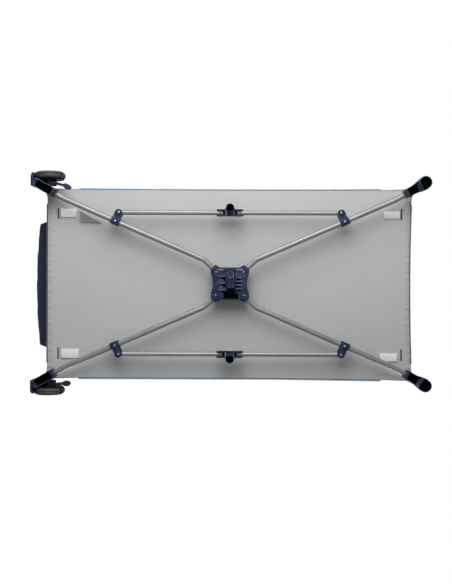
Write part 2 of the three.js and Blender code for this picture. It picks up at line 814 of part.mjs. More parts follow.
// Lower plate of the hub: waisted ends, and corners cut square to the pins, where the knuckles turn,
// with ribs and rivet heads
function hubPlate() {
  const top = hubPlateBottom + hubPlateThickness;
  const corner = (sx, sy) => [
    [sx * hubPlateHalfLength, sy * hubPlateShoulder], [sx * hubPlateEdge, sy * hubPlateHalfWidth],
  ];
  const outline = [
    ...corner(1, 1), ...corner(-1, 1).reverse(), [-hubPlateWaist, 0],
    ...corner(-1, -1), ...corner(1, -1).reverse(), [hubPlateWaist, 0],
  ];
  const window = block(
    channelX - channelHalfWidth, channelX + channelHalfWidth,
    slack - channelHalfLength + armWall, channelHalfLength - armWall - slack, hubPlateBottom - overrun, top + overrun,
  );
  const corners = signs.flatMap(([sx, sy]) => [
    hubBar(sx, sy, -hubPlateSeam, earRoot, earHalf, hubPlateBottom - overrun, top + overrun),
    hubPinRod(sx, sy, earHalf, knuckleRoom, wheelSides),
  ]);
  const ribs = (count, pitch, x0, x1) => Array.from({ length: count }, (_, i) => {
    const y = (i - (count - 1) / 2) * pitch;
    return block(x0, x1, y - ribWidth / 2, y + ribWidth / 2, hubPlateBottom - ribHeight, hubPlateBottom + fit);
  });
  const left = channelX - channelHalfWidth - armWall / 2;
  const right = channelX + channelHalfWidth + armWall / 2;
  const heads = signs.map(([sx, sy]) => upright(
    sx * hubRivetX, sy * hubRivetY, hubPlateBottom - rivetHeadHeight, hubPlateBottom + fit, hubRivetHead,
  ));
  return join(
    cut(prism(rounded(outline, armWall), hubPlateBottom, top), window, ...corners),
    ...ribs(leftRibs, leftRibPitch, left - ribRun, left), ...ribs(rightRibs, rightRibPitch, right, right + ribRun), ...heads,
  );
}

// Lock lever: a block with a stem up through the cover and a loop for the strap
function hubLever() {
  const key = prism(
    rounded(rectangle(keyX - keyHalfWidth, keyX + keyHalfWidth, keyY - keyHalfLength, keyY + keyHalfLength), armWall),
    keyBottom, keyTop,
  );
  const stem = upright(keyX, keyY, keyTop - fit, keyStemTop, keyStem, tubeSides);
  const loopBottom = hubPlateBottom + loopWall;
  const outer = block(
    keyX - keyHalfWidth, keyX + keyHalfWidth,
    keyY - keyHalfLength - loopLength, keyY - keyHalfLength + fit, loopBottom, loopBottom + loopHeight,
  );
  const inner = block(
    keyX - keyHalfWidth + loopWall, keyX + keyHalfWidth - loopWall,
    keyY - keyHalfLength - loopLength + loopWall, keyY - keyHalfLength - loopWall,
    loopBottom - overrun, loopBottom + loopHeight + overrun,
  );
  return join(key, stem, cut(outer, inner));
}

// Strap: webbing that rises from under the loop's bar, through the cover and the base
function hubStrap() {
  const loopBottom = hubPlateBottom + loopWall;
  const bar = keyY - keyHalfLength - loopLength;
  const x0 = keyX - strapWidth / 2;
  const x1 = keyX + strapWidth / 2;
  const inner = bar + loopWall + fit;
  const outer = bar - fit;
  const under = loopBottom - fit;
  return join(
    block(x0, x1, inner, inner + strapThickness, under - strapThickness, strapTop),
    block(x0, x1, outer - strapThickness, inner + strapThickness, under - strapThickness, under),
    block(x0, x1, outer - strapThickness, outer, under - strapThickness, loopBottom + loopHeight),
  );
}

// Fabric base, with a slot near each corner and one for the strap
const baseBottom = hubTop + fit;
const baseTop = baseBottom + baseThickness;
const strapY = keyY - keyHalfLength - loopLength + loopWall + fit + strapThickness / 2;

function strapHole(room, z0, z1) {
  return block(
    keyX - strapWidth / 2 - room, keyX + strapWidth / 2 + room,
    strapY - strapThickness / 2 - room, strapY + strapThickness / 2 + room, z0, z1,
  );
}

function baseFabric() {
  const sheet = prism(
    rounded(rectangle(-baseHalfLength, baseHalfLength, -baseHalfWidth, baseHalfWidth), baseCorner),
    baseBottom, baseTop,
  );
  const slots = signs.map(([sx, sy]) => block(
    sx * slotX - slotHalfWidth, sx * slotX + slotHalfWidth,
    sy * slotY - slotHalfLength, sy * slotY + slotHalfLength, baseBottom - overrun, baseTop + overrun,
  ));
  return cut(sheet, ...slots, strapHole(strapRoom, baseBottom - overrun, baseTop + overrun));
}

// Walls: one ring of fabric that stands on the base
function wallFabric() {
  const bottom = baseTop + fit;
  const outer = rounded(rectangle(-baseHalfLength, baseHalfLength, -baseHalfWidth, baseHalfWidth), baseCorner);
  const inner = rounded(rectangle(
    wallThickness - baseHalfLength, baseHalfLength - wallThickness,
    wallThickness - baseHalfWidth, baseHalfWidth - wallThickness,
  ), baseCorner - wallThickness);
  return cut(prism(outer, bottom, wallTop), prism(inner, bottom - overrun, wallTop + overrun));
}

// Pocket outside the wall at the wheel end, open at the top
function endPocket() {
  const back = -baseHalfLength - fit;
  const front = back - pocketDepth;
  const outline = (skin) => rounded([
    [back - skin, pocketOffset + pocketHalfWidth - skin], [front + skin, pocketOffset + pocketHalfWidth - pocketTaper - skin],
    [front + skin, pocketOffset - pocketHalfWidth + pocketTaper + skin], [back - skin, pocketOffset - pocketHalfWidth + skin],
  ], pocketTaper);
  return cut(
    prism(outline(0), pocketBottom, pocketTop),
    prism(outline(pocketSkin), pocketBottom + pocketSkin, pocketTop + overrun),
  );
}

// Mattress: a padded slab with a crowned top and a hole over the strap
function mattress() {
  const bottom = baseTop + fit;
  const halfLength = baseHalfLength - wallThickness - mattressGap;
  const halfWidth = baseHalfWidth - wallThickness - mattressGap;
  const slab = (inset, z0, z1) => prism(rounded(
    rectangle(inset - halfLength, halfLength - inset, inset - halfWidth, halfWidth - inset), mattressCorner,
  ), z0, z1);
  const shoulder = bottom + mattressThickness - mattressCrown;
  return cut(
    join(slab(0, bottom, shoulder), slab(mattressCrown, shoulder - fit, bottom + mattressThickness)),
    strapHole(mattressHoleHalf, bottom - overrun, bottom + mattressThickness + overrun),
  );
}

// Assembly
const group = new THREE.Group();

function add(parent, name, solid, material) {
  const mesh = new THREE.Mesh(geometryOf(solid), material());
  mesh.name = name;
  parent.add(mesh);
  return mesh;
}

const ends = [['front', -1], ['rear', 1]];
const sides = [['left', -1], ['right', 1]];

for (const [endName, sy] of ends) {
  for (const [sideName, sx] of sides) {
    const name = `${endName}_${sideName}`;
    const corner = new THREE.Group();
    corner.scale.set(sx, sy, 1);
    group.add(corner);
    const onLeft = sx < 0;

    if (onLeft) {
      add(corner, `corner_foot_${name}`, leftFoot(), navyPlastic);
      add(corner, `tyre_${name}`, tyre(), tyreRubber);
      add(corner, `wheel_core_${name}`, wheelCore(), blackPlastic);
      add(corner, `axle_${name}`, axle(), steel);
      add(corner, `brake_lever_${name}`, brakeLever(), navyPlastic);
    } else {
      const foot = add(corner, `corner_foot_${name}`, rightFoot(), navyPlastic);
      foot.position.set(postX, postY, 0);
      foot.rotation.z = footAngle;
    }
    add(corner, `corner_post_${name}`, cornerPost(), greyPaint);
    add(corner, `top_corner_${name}`, topCorner(), navyPlastic);
    add(corner, `cross_tube_${name}`, crossTube(), greyPaint);
    const bracket = add(corner, `cross_bracket_${name}`, crossBracket(), navyPlastic);
    bracket.position.copy(bracketPin);
    bracket.rotation.z = mainAngle;
    add(corner, `side_tube_${name}`, sideTube(onLeft), greyPaint);
    add(corner, `long_rail_${name}`, longRail(onLeft), greyPaint);
    add(corner, `short_rail_${name}`, shortRail(sy < 0), greyPaint);
  }
  const half = new THREE.Group();
  half.scale.set(1, sy, 1);
  group.add(half);
  add(half, `mid_foot_${endName}`, midFoot(), navyPlastic);
}

// A latch and its button in the middle of each rail
const latchPlaces = [
  ['front', 0, -longRailY, 0], ['rear', 0, longRailY, 0],
  ['left', -shortRailX, 0, Math.PI / 2], ['right', shortRailX, 0, Math.PI / 2],
];
for (const [name, x, y, turn] of latchPlaces) {
  const middle = new THREE.Group();
  middle.position.set(x, y, railHeight);
  middle.rotation.z = turn;
  group.add(middle);
  add(middle, `rail_latch_${name}`, latch(), navyPlastic);
  add(middle, `latch_button_${name}`, latchButton(), blackPlastic);
}

add(group, 'hub_cover', hubCover(), navyPlastic);
add(group, 'hub_plate', hubPlate(), navyPlastic);
add(group, 'hub_lever', hubLever(), blackPlastic);
add(group, 'hub_strap', hubStrap(), whiteWebbing);
add(group, 'base_fabric', baseFabric(), greyFabric);
add(group, 'wall_fabric', wallFabric(), paleBlueFabric);
add(group, 'end_pocket', endPocket(), navyFabric);
add(group, 'mattress', mattress(), cushionFabric);

export default group;
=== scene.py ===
# %% [markdown]
# # A folding travel cot, seen from below
#
# This lesson dresses a travel cot that is already there as plain solids. The solids know
# where every part is and how it moves, and here each part gets its real shape and finish:
# the moulded feet, the painted tubes, the hub, the wheels, the cloth and the padding.
# Lengths are written in millimetres and turned into metres where a mesh is made.

# %% Load the solids and keep their size
import json
import math

import bmesh
import bpy
from mathutils import Matrix, Vector

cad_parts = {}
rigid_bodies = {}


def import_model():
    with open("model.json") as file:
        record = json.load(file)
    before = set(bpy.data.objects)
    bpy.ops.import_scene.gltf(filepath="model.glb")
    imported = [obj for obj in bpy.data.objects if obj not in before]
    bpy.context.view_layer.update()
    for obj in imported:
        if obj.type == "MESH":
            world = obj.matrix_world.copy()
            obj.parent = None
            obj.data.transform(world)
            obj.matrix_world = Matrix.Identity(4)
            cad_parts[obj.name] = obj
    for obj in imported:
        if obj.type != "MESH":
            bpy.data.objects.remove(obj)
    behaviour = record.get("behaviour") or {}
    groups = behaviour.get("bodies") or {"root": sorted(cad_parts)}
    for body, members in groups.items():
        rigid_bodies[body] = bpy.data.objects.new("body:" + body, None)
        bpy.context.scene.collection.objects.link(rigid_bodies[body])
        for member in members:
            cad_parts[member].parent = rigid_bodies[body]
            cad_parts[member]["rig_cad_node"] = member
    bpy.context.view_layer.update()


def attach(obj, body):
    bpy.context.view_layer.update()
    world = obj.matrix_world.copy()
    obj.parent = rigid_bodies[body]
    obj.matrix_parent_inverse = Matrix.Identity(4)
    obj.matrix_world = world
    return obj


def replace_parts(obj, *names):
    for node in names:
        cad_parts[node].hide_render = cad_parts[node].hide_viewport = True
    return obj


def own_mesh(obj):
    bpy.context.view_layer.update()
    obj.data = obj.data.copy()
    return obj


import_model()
MM = 0.001

# %% [markdown]
# ## The camera
#
# The photograph looks straight up at the underside, with the wheels at the left of the
# picture. A camera that is turned half round its X axis looks up, and its picture then has
# the front side of the cot at the top. The distance is far enough that the four posts hide
# behind the base, and the lens follows from the width of the base in the picture.

# %% Put the camera under the cot
CAMERA_DEPTH = 3.0
PICTURE_HEIGHT = 1.8104  # metres that the picture's height covers at the floor
SENSOR = 36.0

camera_data = bpy.data.cameras.new("picture_camera")
camera = bpy.data.objects.new("picture_camera", camera_data)
bpy.context.scene.collection.objects.link(camera)
camera.location = (-0.012, 0.0265, -CAMERA_DEPTH)
camera.rotation_euler = (math.pi, 0, math.radians(-0.19))
camera_data.sensor_width = SENSOR
camera_data.lens = SENSOR * CAMERA_DEPTH / PICTURE_HEIGHT
bpy.context.scene.camera = camera
print("lens", round(camera_data.lens, 2), "mm")

# %% [markdown]
# ## Light
#
# The underside is lit by one large soft lamp under the front long side, so the front of
# the cloth is brighter than the rear and the tubes throw faint wide shadows on it. A small
# lamp in the same place draws a narrow light line along every tube, and a weak one lifts
# the shadows from straight below. Three more lamps stand above the cot for the views
# from the sides and the top. The world is white to the camera, and a weak even light for
# the surfaces.

# %% Lamps and world
def soft_lamp(name, place, target, size, power):
    """A square lamp of a given size in metres that faces a target."""
    data = bpy.data.lights.new(name, "AREA")
    data.size = size
    data.energy = power
    lamp = bpy.data.objects.new(name, data)
    bpy.context.scene.collection.objects.link(lamp)
    lamp.location = place
    lamp.rotation_euler = (Vector(target) - Vector(place)).to_track_quat("-Z", "Y").to_euler()
    lamp.visible_camera = False
    return lamp


soft_lamp("lamp_under_front", (-0.08, -1.15, -1.00), (0, 0, 0.08), 1.5, 25.2)
soft_lamp("lamp_under_glint", (-0.08, -1.15, -0.98), (0, 0, 0.08), 0.5, 2.1)
soft_lamp("lamp_under_fill", (0.1, 0.0, -2.8), (0, 0, 0.08), 2.2, 2.8)
soft_lamp("lamp_over_front", (-1.4, -2.2, 2.6), (0, 0, 0.4), 1.8, 85)
soft_lamp("lamp_over_right", (2.6, -0.4, 1.9), (0, 0, 0.4), 1.6, 42)
soft_lamp("lamp_over_rear", (-0.6, 2.6, 2.2), (0, 0, 0.4), 1.8, 52)

WORLD_LIGHT = 0.19
world = bpy.data.worlds.new("studio")
bpy.context.scene.world = world
world.use_nodes = True
world.node_tree.nodes.clear()
seen = world.node_tree.nodes.new("ShaderNodeLightPath")
paper = world.node_tree.nodes.new("ShaderNodeBackground")
paper.inputs["Strength"].default_value = 1.0
glow = world.node_tree.nodes.new("ShaderNodeBackground")
glow.inputs["Strength"].default_value = WORLD_LIGHT
for background in (paper, glow):
    background.inputs["Color"].default_value = (1, 1, 1, 1)
either = world.node_tree.nodes.new("ShaderNodeMath")
either.operation = "MAXIMUM"
choice = world.node_tree.nodes.new("ShaderNodeMixShader")
world_out = world.node_tree.nodes.new("ShaderNodeOutputWorld")
join_up = world.node_tree.links.new
join_up(seen.outputs["Is Camera Ray"], either.inputs[0])
join_up(seen.outputs["Is Transmission Ray"], either.inputs[1])
join_up(either.outputs[0], choice.inputs[0])
join_up(glow.outputs[0], choice.inputs[1])
join_up(paper.outputs[0], choice.inputs[2])
join_up(choice.outputs[0], world_out.inputs["Surface"])
bpy.context.scene.view_settings.view_transform = "Standard"

# %% [markdown]
# ## Writing materials as sums
#
# A finish is a small net of nodes. The class below wraps a socket, so that a sum such as
# `0.4 + 0.1 * mottle` adds its Math nodes by itself, and one method makes any other node
# from its type, its settings and its sockets. Every pattern reads Object coordinates,
# which are metres in the cot's own frame, so grain and weave have their real size.

# %% A class for sockets and a class for finishes
class Signal:
    """A socket that can stand in a sum."""

    def __init__(self, finish, socket):
        self.finish, self.socket = finish, socket

    def __add__(self, other):
        return self.finish.maths("ADD", self, other)

    def __sub__(self, other):
        return self.finish.maths("SUBTRACT", self, other)

    def __rsub__(self, other):
        return self.finish.maths("SUBTRACT", other, self)

    def __mul__(self, other):
        return self.finish.maths("MULTIPLY", self, other)

    def __truediv__(self, other):
        return self.finish.maths("DIVIDE", self, other)

    def __gt__(self, other):
        return self.finish.maths("GREATER_THAN", self, other)

    def __lt__(self, other):
        return self.finish.maths("LESS_THAN", self, other)

    __radd__ = __add__
    __rmul__ = __mul__


def rgba(colour):
    """A colour written as three numbers gets its fourth."""
    return tuple(colour) + (1.0,) if len(colour) == 3 else tuple(colour)


class Finish:
    """A material with one Principled shader, built up by name."""

    def __init__(self, name, slot, base, roughness, metallic=0.0, **constants):
        self.slot = slot
        self.material = bpy.data.materials.new(name)
        self.material.use_nodes = True
        self.tree = self.material.node_tree
        self.tree.nodes.clear()
        self.shader = self.tree.nodes.new("ShaderNodeBsdfPrincipled")
        self.end = self.tree.nodes.new("ShaderNodeOutputMaterial")
        self.tree.links.new(self.shader.outputs[0], self.end.inputs["Surface"])
        self.set("Base Color", base)
        self.set("Roughness", roughness)
        self.set("Metallic", metallic)
        for key, value in constants.items():
            self.set(key.replace("_", " "), value)

    def feed(self, socket, value):
        if isinstance(value, Signal):
            self.tree.links.new(value.socket, socket)
        elif socket.type == "RGBA":
            socket.default_value = rgba(value)
        else:
            socket.default_value = value

    def set(self, name, value):
        self.feed(self.shader.inputs[name], value)

    def node(self, kind, settings=None, inputs=None, out=0):
        made = self.tree.nodes.new(kind)
        for key, value in (settings or {}).items():
            if key == "stops":
                ramp = made.color_ramp.elements
                while len(ramp) < len(value):
                    ramp.new(0.5)
                for stop, (position, colour) in zip(ramp, value):
                    stop.position, stop.color = position, rgba(colour)
            else:
                setattr(made, key, value)
        for key, value in (inputs or {}).items():
            self.feed(made.inputs[key], value)
        return Signal(self, made.outputs[out])

    def maths(self, operation, *values):
        return self.node("ShaderNodeMath", {"operation": operation}, dict(enumerate(values)))

    def mix(self, share, first, second):
        return self.node(
            "ShaderNodeMix", {"data_type": "RGBA"}, {0: share, 6: first, 7: second}, out=2
        )

    def place(self, stretch=(1, 1, 1), turn=(0, 0, 0)):
        here = self.node("ShaderNodeTexCoord", out=3)
        return self.node("ShaderNodeMapping", {}, {"Vector": here, "Scale": stretch, "Rotation": turn})

    def noise(self, scale, detail=3.0, stretch=(1, 1, 1), rough=0.5):
        return self.node(
            "ShaderNodeTexNoise", {},
            {"Vector": self.place(stretch), "Scale": scale, "Detail": detail, "Roughness": rough},
        )

    def axes(self):
        """The three Object coordinates as numbers."""
        split = self.tree.nodes.new("ShaderNodeSeparateXYZ")
        self.tree.links.new(self.node("ShaderNodeTexCoord", out=3).socket, split.inputs[0])
        return [Signal(self, split.outputs[i]) for i in range(3)]

    def sine(self, value):
        return self.maths("SINE", value)

    def bump(self, height, distance, strength=1.0):
        self.set("Normal", self.node(
            "ShaderNodeBump", {}, {"Height": height, "Distance": distance, "Strength": strength},
        ))


def dress(obj, finish):
    """Gives a piece its finish."""
    obj.data.materials.clear()
    obj.data.materials.append(finish.material)
    finish.slot and "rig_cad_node" not in obj
    return obj

# %% [markdown]
# ## Paint, plastic, rubber and steel
#
# The tubes are steel under a silver-grey paint: a little metallic, satin, with a faint
# orange-peel surface. The mouldings are navy plastic with the fine spark-eroded grain that
# moulds leave, and a slightly paler bloom where they have been rubbed. A pale navy on a few
# edges, rims and ribs is a painted highlight. The tyres are grey-brown from the dust of floors,
# the rivets are bright steel, and a dead black put into hollows is painted shade.

# %% Hard finishes
paint = Finish("silver_grey_paint", "grey_tube", (0.30, 0.30, 0.295), 0.24, 0.18)
paint.set("Specular IOR Level", 0.9)
cloudy = paint.noise(9, 4)
fine = paint.noise(900, 2)
paint.set("Base Color", paint.mix(cloudy, (0.27, 0.27, 0.265), (0.34, 0.34, 0.334)))
paint.set("Roughness", 0.15 + 0.10 * cloudy + 0.05 * fine)
paint.bump(fine, 0.00005, 0.25)


def moulded(name, slot, dark, pale, roughness):
    """A moulded plastic with grain, flow marks and rubbed places."""
    finish = Finish(name, slot, dark, roughness)
    flow = finish.noise(14, 4, (1, 1, 2.2))
    grain = finish.noise(1500, 2)
    scuff = finish.noise(60, 6, (1, 3, 1), 0.7)
    rubbed = (scuff > 0.66) * 0.35 + flow * 0.45
    finish.set("Base Color", finish.mix(rubbed, dark, pale))
    finish.set("Roughness", roughness - 0.1 + 0.16 * flow + 0.08 * scuff)
    finish.bump(grain + 0.5 * scuff, 0.00012, 0.5)
    return finish


navy = moulded("navy_moulding", "navy_plastic", (0.013, 0.022, 0.066), (0.026, 0.040, 0.108), 0.44)
navy.set("Specular IOR Level", 0.34)
# Pale navy with a clear coat: painted highlight, used on edges, rims, lips and ribs of the mouldings.
highlight_navy = moulded("navy_painted_highlight", "navy_plastic", (0.10, 0.11, 0.22), (0.20, 0.21, 0.36), 0.26)
highlight_navy.set("Coat Weight", 0.7)
black = moulded("black_moulding", "black_plastic", (0.008, 0.009, 0.013), (0.020, 0.022, 0.030), 0.50)
# Near-black with almost no shine: painted shade, put as sheets and shells inside hollows and recesses.
shadow_black = moulded("black_painted_shade", "black_plastic", (0.0010, 0.0011, 0.0014), (0.0022, 0.0023, 0.0028), 0.92)
shadow_black.set("Specular IOR Level", 0.06)

rubber = Finish("dusty_tyre", "tyre_rubber", (0.07, 0.065, 0.06), 0.62)
dust = rubber.noise(35, 5, (1, 1, 1), 0.65)
rubber.set("Base Color", rubber.mix(dust, (0.040, 0.037, 0.034), (0.085, 0.080, 0.072)))
rubber.set("Roughness", 0.42 + 0.25 * dust)
rubber.bump(rubber.noise(800, 2) + dust, 0.0003, 0.5)

steel = Finish("bright_steel", "axle_steel", (0.62, 0.63, 0.64), 0.28, 0.9)
brushed = steel.noise(300, 3, (1, 9, 1))
steel.set("Roughness", 0.2 + 0.2 * brushed)
steel.set("Base Color", steel.mix(brushed, (0.50, 0.51, 0.52), (0.72, 0.73, 0.74)))
steel.bump(brushed, 0.00005, 0.4)
print("hard finishes", [f.material.name for f in (paint, navy, black, rubber, steel)])

# %% [markdown]
# ## Cloth finishes
#
# Woven cloth is two sets of threads. Two sines across each other give the threads their
# height, and a soft cloudy noise gives the uneven tone of a cloth that has been washed and
# stretched. The netting is the same idea with holes: where both sines are low, the cloth
# lets the view through.

# %% Soft finishes
def woven(name, slot, dark, pale, pitch, roughness=0.85, upright=False, height=0.00018):
    """A plain weave with a thread pitch in millimetres, lying flat or standing upright."""
    finish = Finish(name, slot, dark, roughness, Sheen_Weight=0.12, Sheen_Roughness=0.5)
    x, y, z = finish.axes()
    turns = 2 * math.pi / (pitch * MM)
    across = (x + y) if upright else x
    along = z if upright else y
    warp, weft = finish.sine(across * turns), finish.sine(along * turns)
    thread = 0.5 + 0.5 * (warp * weft)
    cloud = finish.noise(3.2, 4, (1, 1, 1), 0.6)
    fibre = finish.noise(420, 3)
    finish.set("Base Color", finish.mix(0.62 * cloud + 0.22 * thread + 0.12 * fibre, dark, pale))
    finish.set("Roughness", roughness - 0.08 + 0.12 * fibre)
    finish.bump(thread + 0.5 * fibre, height, 0.6)
    return finish


base_cloth = woven("grey_base_cloth", "base_cloth", (0.50, 0.50, 0.50), (0.62, 0.62, 0.62), 0.9)
hem_cloth = woven("grey_hem_tape", "base_cloth", (0.45, 0.45, 0.45), (0.57, 0.57, 0.57), 0.9)
# Near-black cloth above each slot: painted shade, standing for the dark of the open slot.
slot_shade_cloth = woven("dark_slot_painted_shade", "base_cloth", (0.05, 0.05, 0.055), (0.09, 0.09, 0.10), 0.9)
pale_blue = woven("pale_blue_cloth", "wall_cloth", (0.31, 0.58, 0.85), (0.43, 0.71, 0.93), 1.0, upright=True)
dark_grey = woven("dark_grey_cloth", "wall_cloth", (0.15, 0.155, 0.16), (0.235, 0.24, 0.25), 1.0, upright=True)
pocket_cloth = woven("navy_pocket_cloth", "pocket_cloth", (0.016, 0.022, 0.064), (0.029, 0.038, 0.098), 1.2, upright=True)
pad_cloth = woven("grey_pad_cloth", "mattress_cloth", (0.46, 0.49, 0.51), (0.60, 0.63, 0.65), 1.4)
webbing = woven("white_webbing", "white_webbing", (0.90, 0.90, 0.89), (0.99, 0.99, 0.98), 1.6, height=0.0003)
# Darker grey cloth: a painted shadow beside the loose flap.
flap_cloth = woven("grey_flap_cloth", "base_cloth", (0.24, 0.24, 0.24), (0.33, 0.33, 0.33), 0.9)

netting = Finish("grey_netting", "wall_cloth", (0.42, 0.44, 0.46), 0.8)
nx, ny, nz = netting.axes()
NET_PITCH = 3.4
net_turns = 2 * math.pi / (NET_PITCH * MM)
rows = netting.sine((nx + ny + 0.55 * nz) * net_turns)
lines = netting.sine((nx + ny - 0.55 * nz) * net_turns)
hole = netting.maths("MULTIPLY", rows > -0.25, lines > -0.25)
netting.set("Alpha", 1 - 0.94 * hole)
netting.set("Base Color", netting.mix(netting.noise(5, 3), (0.36, 0.38, 0.40), (0.50, 0.52, 0.54)))
netting.set("Roughness", 0.72 + 0.15 * netting.noise(300, 2))
netting.bump(0.5 + 0.25 * (rows + lines), 0.0003, 0.7)
print("soft finishes", len([m for m in bpy.data.materials if "cloth" in m.name]))

# %% [markdown]
# ## Working by hand, in code
#
# Every operator works on what is selected, so each helper first deselects everything. A
# piece starts from a primitive at its place, is shaped in edit mode, and is finished with
# modifiers that are applied. Faces and edges are selected by where they lie.

# %% Helpers for selecting, editing and finishing
def only(obj):
    """Makes this object the only selected one, and the active one."""
    bpy.ops.object.select_all(action="DESELECT")
    obj.select_set(True)
    bpy.context.view_layer.objects.active = obj
    return obj


def edit(obj, kind="FACE", everything=False):
    only(obj)
    bpy.ops.object.mode_set(mode="EDIT")
    bpy.ops.mesh.select_mode(type=kind)
    bpy.ops.mesh.select_all(action="SELECT" if everything else "DESELECT")


def close(obj):
    bpy.ops.object.mode_set(mode="OBJECT")
    return obj


def pick(obj, kind, test):
    """Selects the faces, edges or vertices for which test(centre in mm, normal or direction) is true."""
    mesh = bmesh.from_edit_mesh(obj.data)
    count = 0
    for item in {"FACE": mesh.faces, "EDGE": mesh.edges, "VERT": mesh.verts}[kind]:
        if kind == "FACE":
            centre, way = item.calc_center_median(), item.normal
        elif kind == "EDGE":
            ends = [v.co for v in item.verts]
            centre, way = (ends[0] + ends[1]) / 2, (ends[1] - ends[0]).normalized()
        else:
            centre, way = item.co, item.normal
        item.select_set(bool(test(centre / MM, way)))
        count += item.select
    mesh.select_flush_mode()
    bmesh.update_edit_mesh(obj.data)
    return count


def outwards(obj):
    """Points all faces of a closed piece outwards."""
    edit(obj, everything=True)
    bpy.ops.mesh.normals_make_consistent(inside=False)
    return close(obj)


def settle(obj, name):
    """Puts a new object's place into its mesh, so that the object sits at the origin."""
    only(obj)
    bpy.ops.object.transform_apply(location=True, rotation=True, scale=True)
    obj.name = obj.data.name = name
    return obj


def finish_with(obj, kind, **settings):
    """Adds one modifier and applies it."""
    only(obj)
    modifier = obj.modifiers.new(kind.lower(), kind)
    for key, value in settings.items():
        setattr(modifier, key, value)
    bpy.ops.object.modifier_apply(modifier=modifier.name)
    return obj


def fuse(obj, *others, operation="UNION"):
    """Joins other closed pieces to this one."""
    for other in others:
        finish_with(obj, "BOOLEAN", object=other, solver="EXACT", operation=operation)
        bpy.data.objects.remove(other)
    return obj


def carve(obj, *others):
    """Cuts other closed pieces out of this one."""
    return fuse(obj, *others, operation="DIFFERENCE")


def trim(obj, other):
    """Keeps what is inside the other piece too."""
    return fuse(obj, other, operation="INTERSECT")


def soften(obj, width=0.8, segments=2, angle=34):
    """Rounds the sharp edges by a width in mm, and shades the rest smooth."""
    edit(obj, everything=True)
    bpy.ops.mesh.remove_doubles(threshold=0.00001)
    close(obj)
    finish_with(
        obj, "BEVEL", width=width * MM, segments=segments, limit_method="ANGLE",
        angle_limit=math.radians(angle), miter_outer="MITER_ARC", harden_normals=False,
    )
    only(obj)
    bpy.ops.object.shade_smooth_by_angle(angle=math.radians(angle))
    return obj


def mirrored(obj, name, sx, sy):
    """A copy with its own mesh in another corner of the cot. A single mirror turns the faces
    inside out, so they are flipped back."""
    copy = obj.copy()
    copy.data = obj.data.copy()
    bpy.context.scene.collection.objects.link(copy)
    copy.data.transform(Matrix.Diagonal((sx, sy, 1, 1)))
    if sx * sy < 0:
        edit(copy, everything=True)
        bpy.ops.mesh.flip_normals()
        close(copy)
    copy.name = copy.data.name = name
    return copy


CORNERS = {"rear_right": (1, 1), "rear_left": (-1, 1), "front_left": (-1, -1), "front_right": (1, -1)}


def four_corners(drawn, label, finish, body, node=None, keep=CORNERS):
    """Places a piece that was drawn in the rear right corner in the other corners too."""
    made = {}
    for corner, (sx, sy) in keep.items():
        piece = dress(mirrored(drawn, f"{label}_{corner}", sx, sy), finish)
        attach(piece, body.format(corner))
        if node:
            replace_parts(piece, node.format(corner))
        made[corner] = piece
    bpy.data.objects.remove(drawn)
    return made

# %% [markdown]
# ## Plates, rods and bent tubes
#
# Three kinds of start are enough for the hard parts. A plate is a filled ring of corners
# that is extruded upwards, with its upright corners rounded by bevel. A rod is a cylinder
# turned to its line. A tube is an open circle that is extruded along each straight run and
# spun round the centre of each bend, and then gets its wall with Solidify.

# %% Helpers for plates, rods, turned pieces and tubes
def plate(name, outline, low, high, corner=0.0, steps=3):
    """A flat piece with the given outline, from one height to another."""
    bpy.ops.object.select_all(action="DESELECT")
    bpy.ops.mesh.primitive_circle_add(vertices=len(outline), radius=0.01, fill_type="NGON")
    obj = settle(bpy.context.object, name)
    for vertex, (x, y) in zip(obj.data.vertices, outline):
        vertex.co = Vector((x, y, low)) * MM
    edit(obj, everything=True)
    bpy.ops.mesh.extrude_region_move(TRANSFORM_OT_translate={"value": (0, 0, (high - low) * MM)})
    bpy.ops.mesh.select_all(action="SELECT")
    bpy.ops.mesh.normals_make_consistent(inside=False)
    if corner:
        bpy.ops.mesh.select_mode(type="EDGE")
        pick(obj, "EDGE", lambda c, d: abs(d.z) > 0.99)
        bpy.ops.mesh.bevel(offset=corner * MM, segments=steps, affect="EDGES", clamp_overlap=True)
    return close(obj)


def block(name, x0, x1, y0, y1, z0, z1, corner=0.0):
    return plate(name, [(x0, y0), (x1, y0), (x1, y1), (x0, y1)], z0, z1, corner)


def standing(name, outline, y0, y1, lift=0.0):
    """A plate that stands upright from y0 to y1. Its outline is in x and z, raised by a lift."""
    made = plate(name, outline, y0, y1)
    made.data.transform(Matrix(((1, 0, 0, 0), (0, 0, 1, 0), (0, 1, 0, lift * MM), (0, 0, 0, 1))))
    return outwards(made)


def rod(name, start, end, radius, sides=32, tip=None):
    """A round bar between two points in mm, tapered where the tip radius differs."""
    a, b = Vector(start) * MM, Vector(end) * MM
    bpy.ops.object.select_all(action="DESELECT")
    bpy.ops.mesh.primitive_cone_add(
        vertices=sides, radius1=radius * MM, radius2=(radius if tip is None else tip) * MM,
        depth=(b - a).length, location=(a + b) / 2,
        rotation=(b - a).to_track_quat("Z", "Y").to_euler(),
    )
    return settle(bpy.context.object, name)


def turned(name, profile, centre, axis="Y", steps=48):
    """A closed profile of (radius, height along the axis) pairs in mm, spun round an axis."""
    c = Vector(centre) * MM
    along = Vector((0, 1, 0)) if axis == "Y" else Vector((0, 0, 1))
    bpy.ops.object.select_all(action="DESELECT")
    bpy.ops.mesh.primitive_circle_add(vertices=len(profile), radius=0.01)
    obj = settle(bpy.context.object, name)
    for vertex, (radius, height) in zip(obj.data.vertices, profile):
        vertex.co = c + Vector((radius, 0, 0)) * MM + along * height * MM
    edit(obj, "VERT", everything=True)
    bpy.ops.mesh.spin(steps=steps, angle=2 * math.pi, center=c, axis=along)
    bpy.ops.mesh.select_all(action="SELECT")
    bpy.ops.mesh.remove_doubles(threshold=0.00002)
    bpy.ops.mesh.normals_make_consistent(inside=False)
    return close(obj)


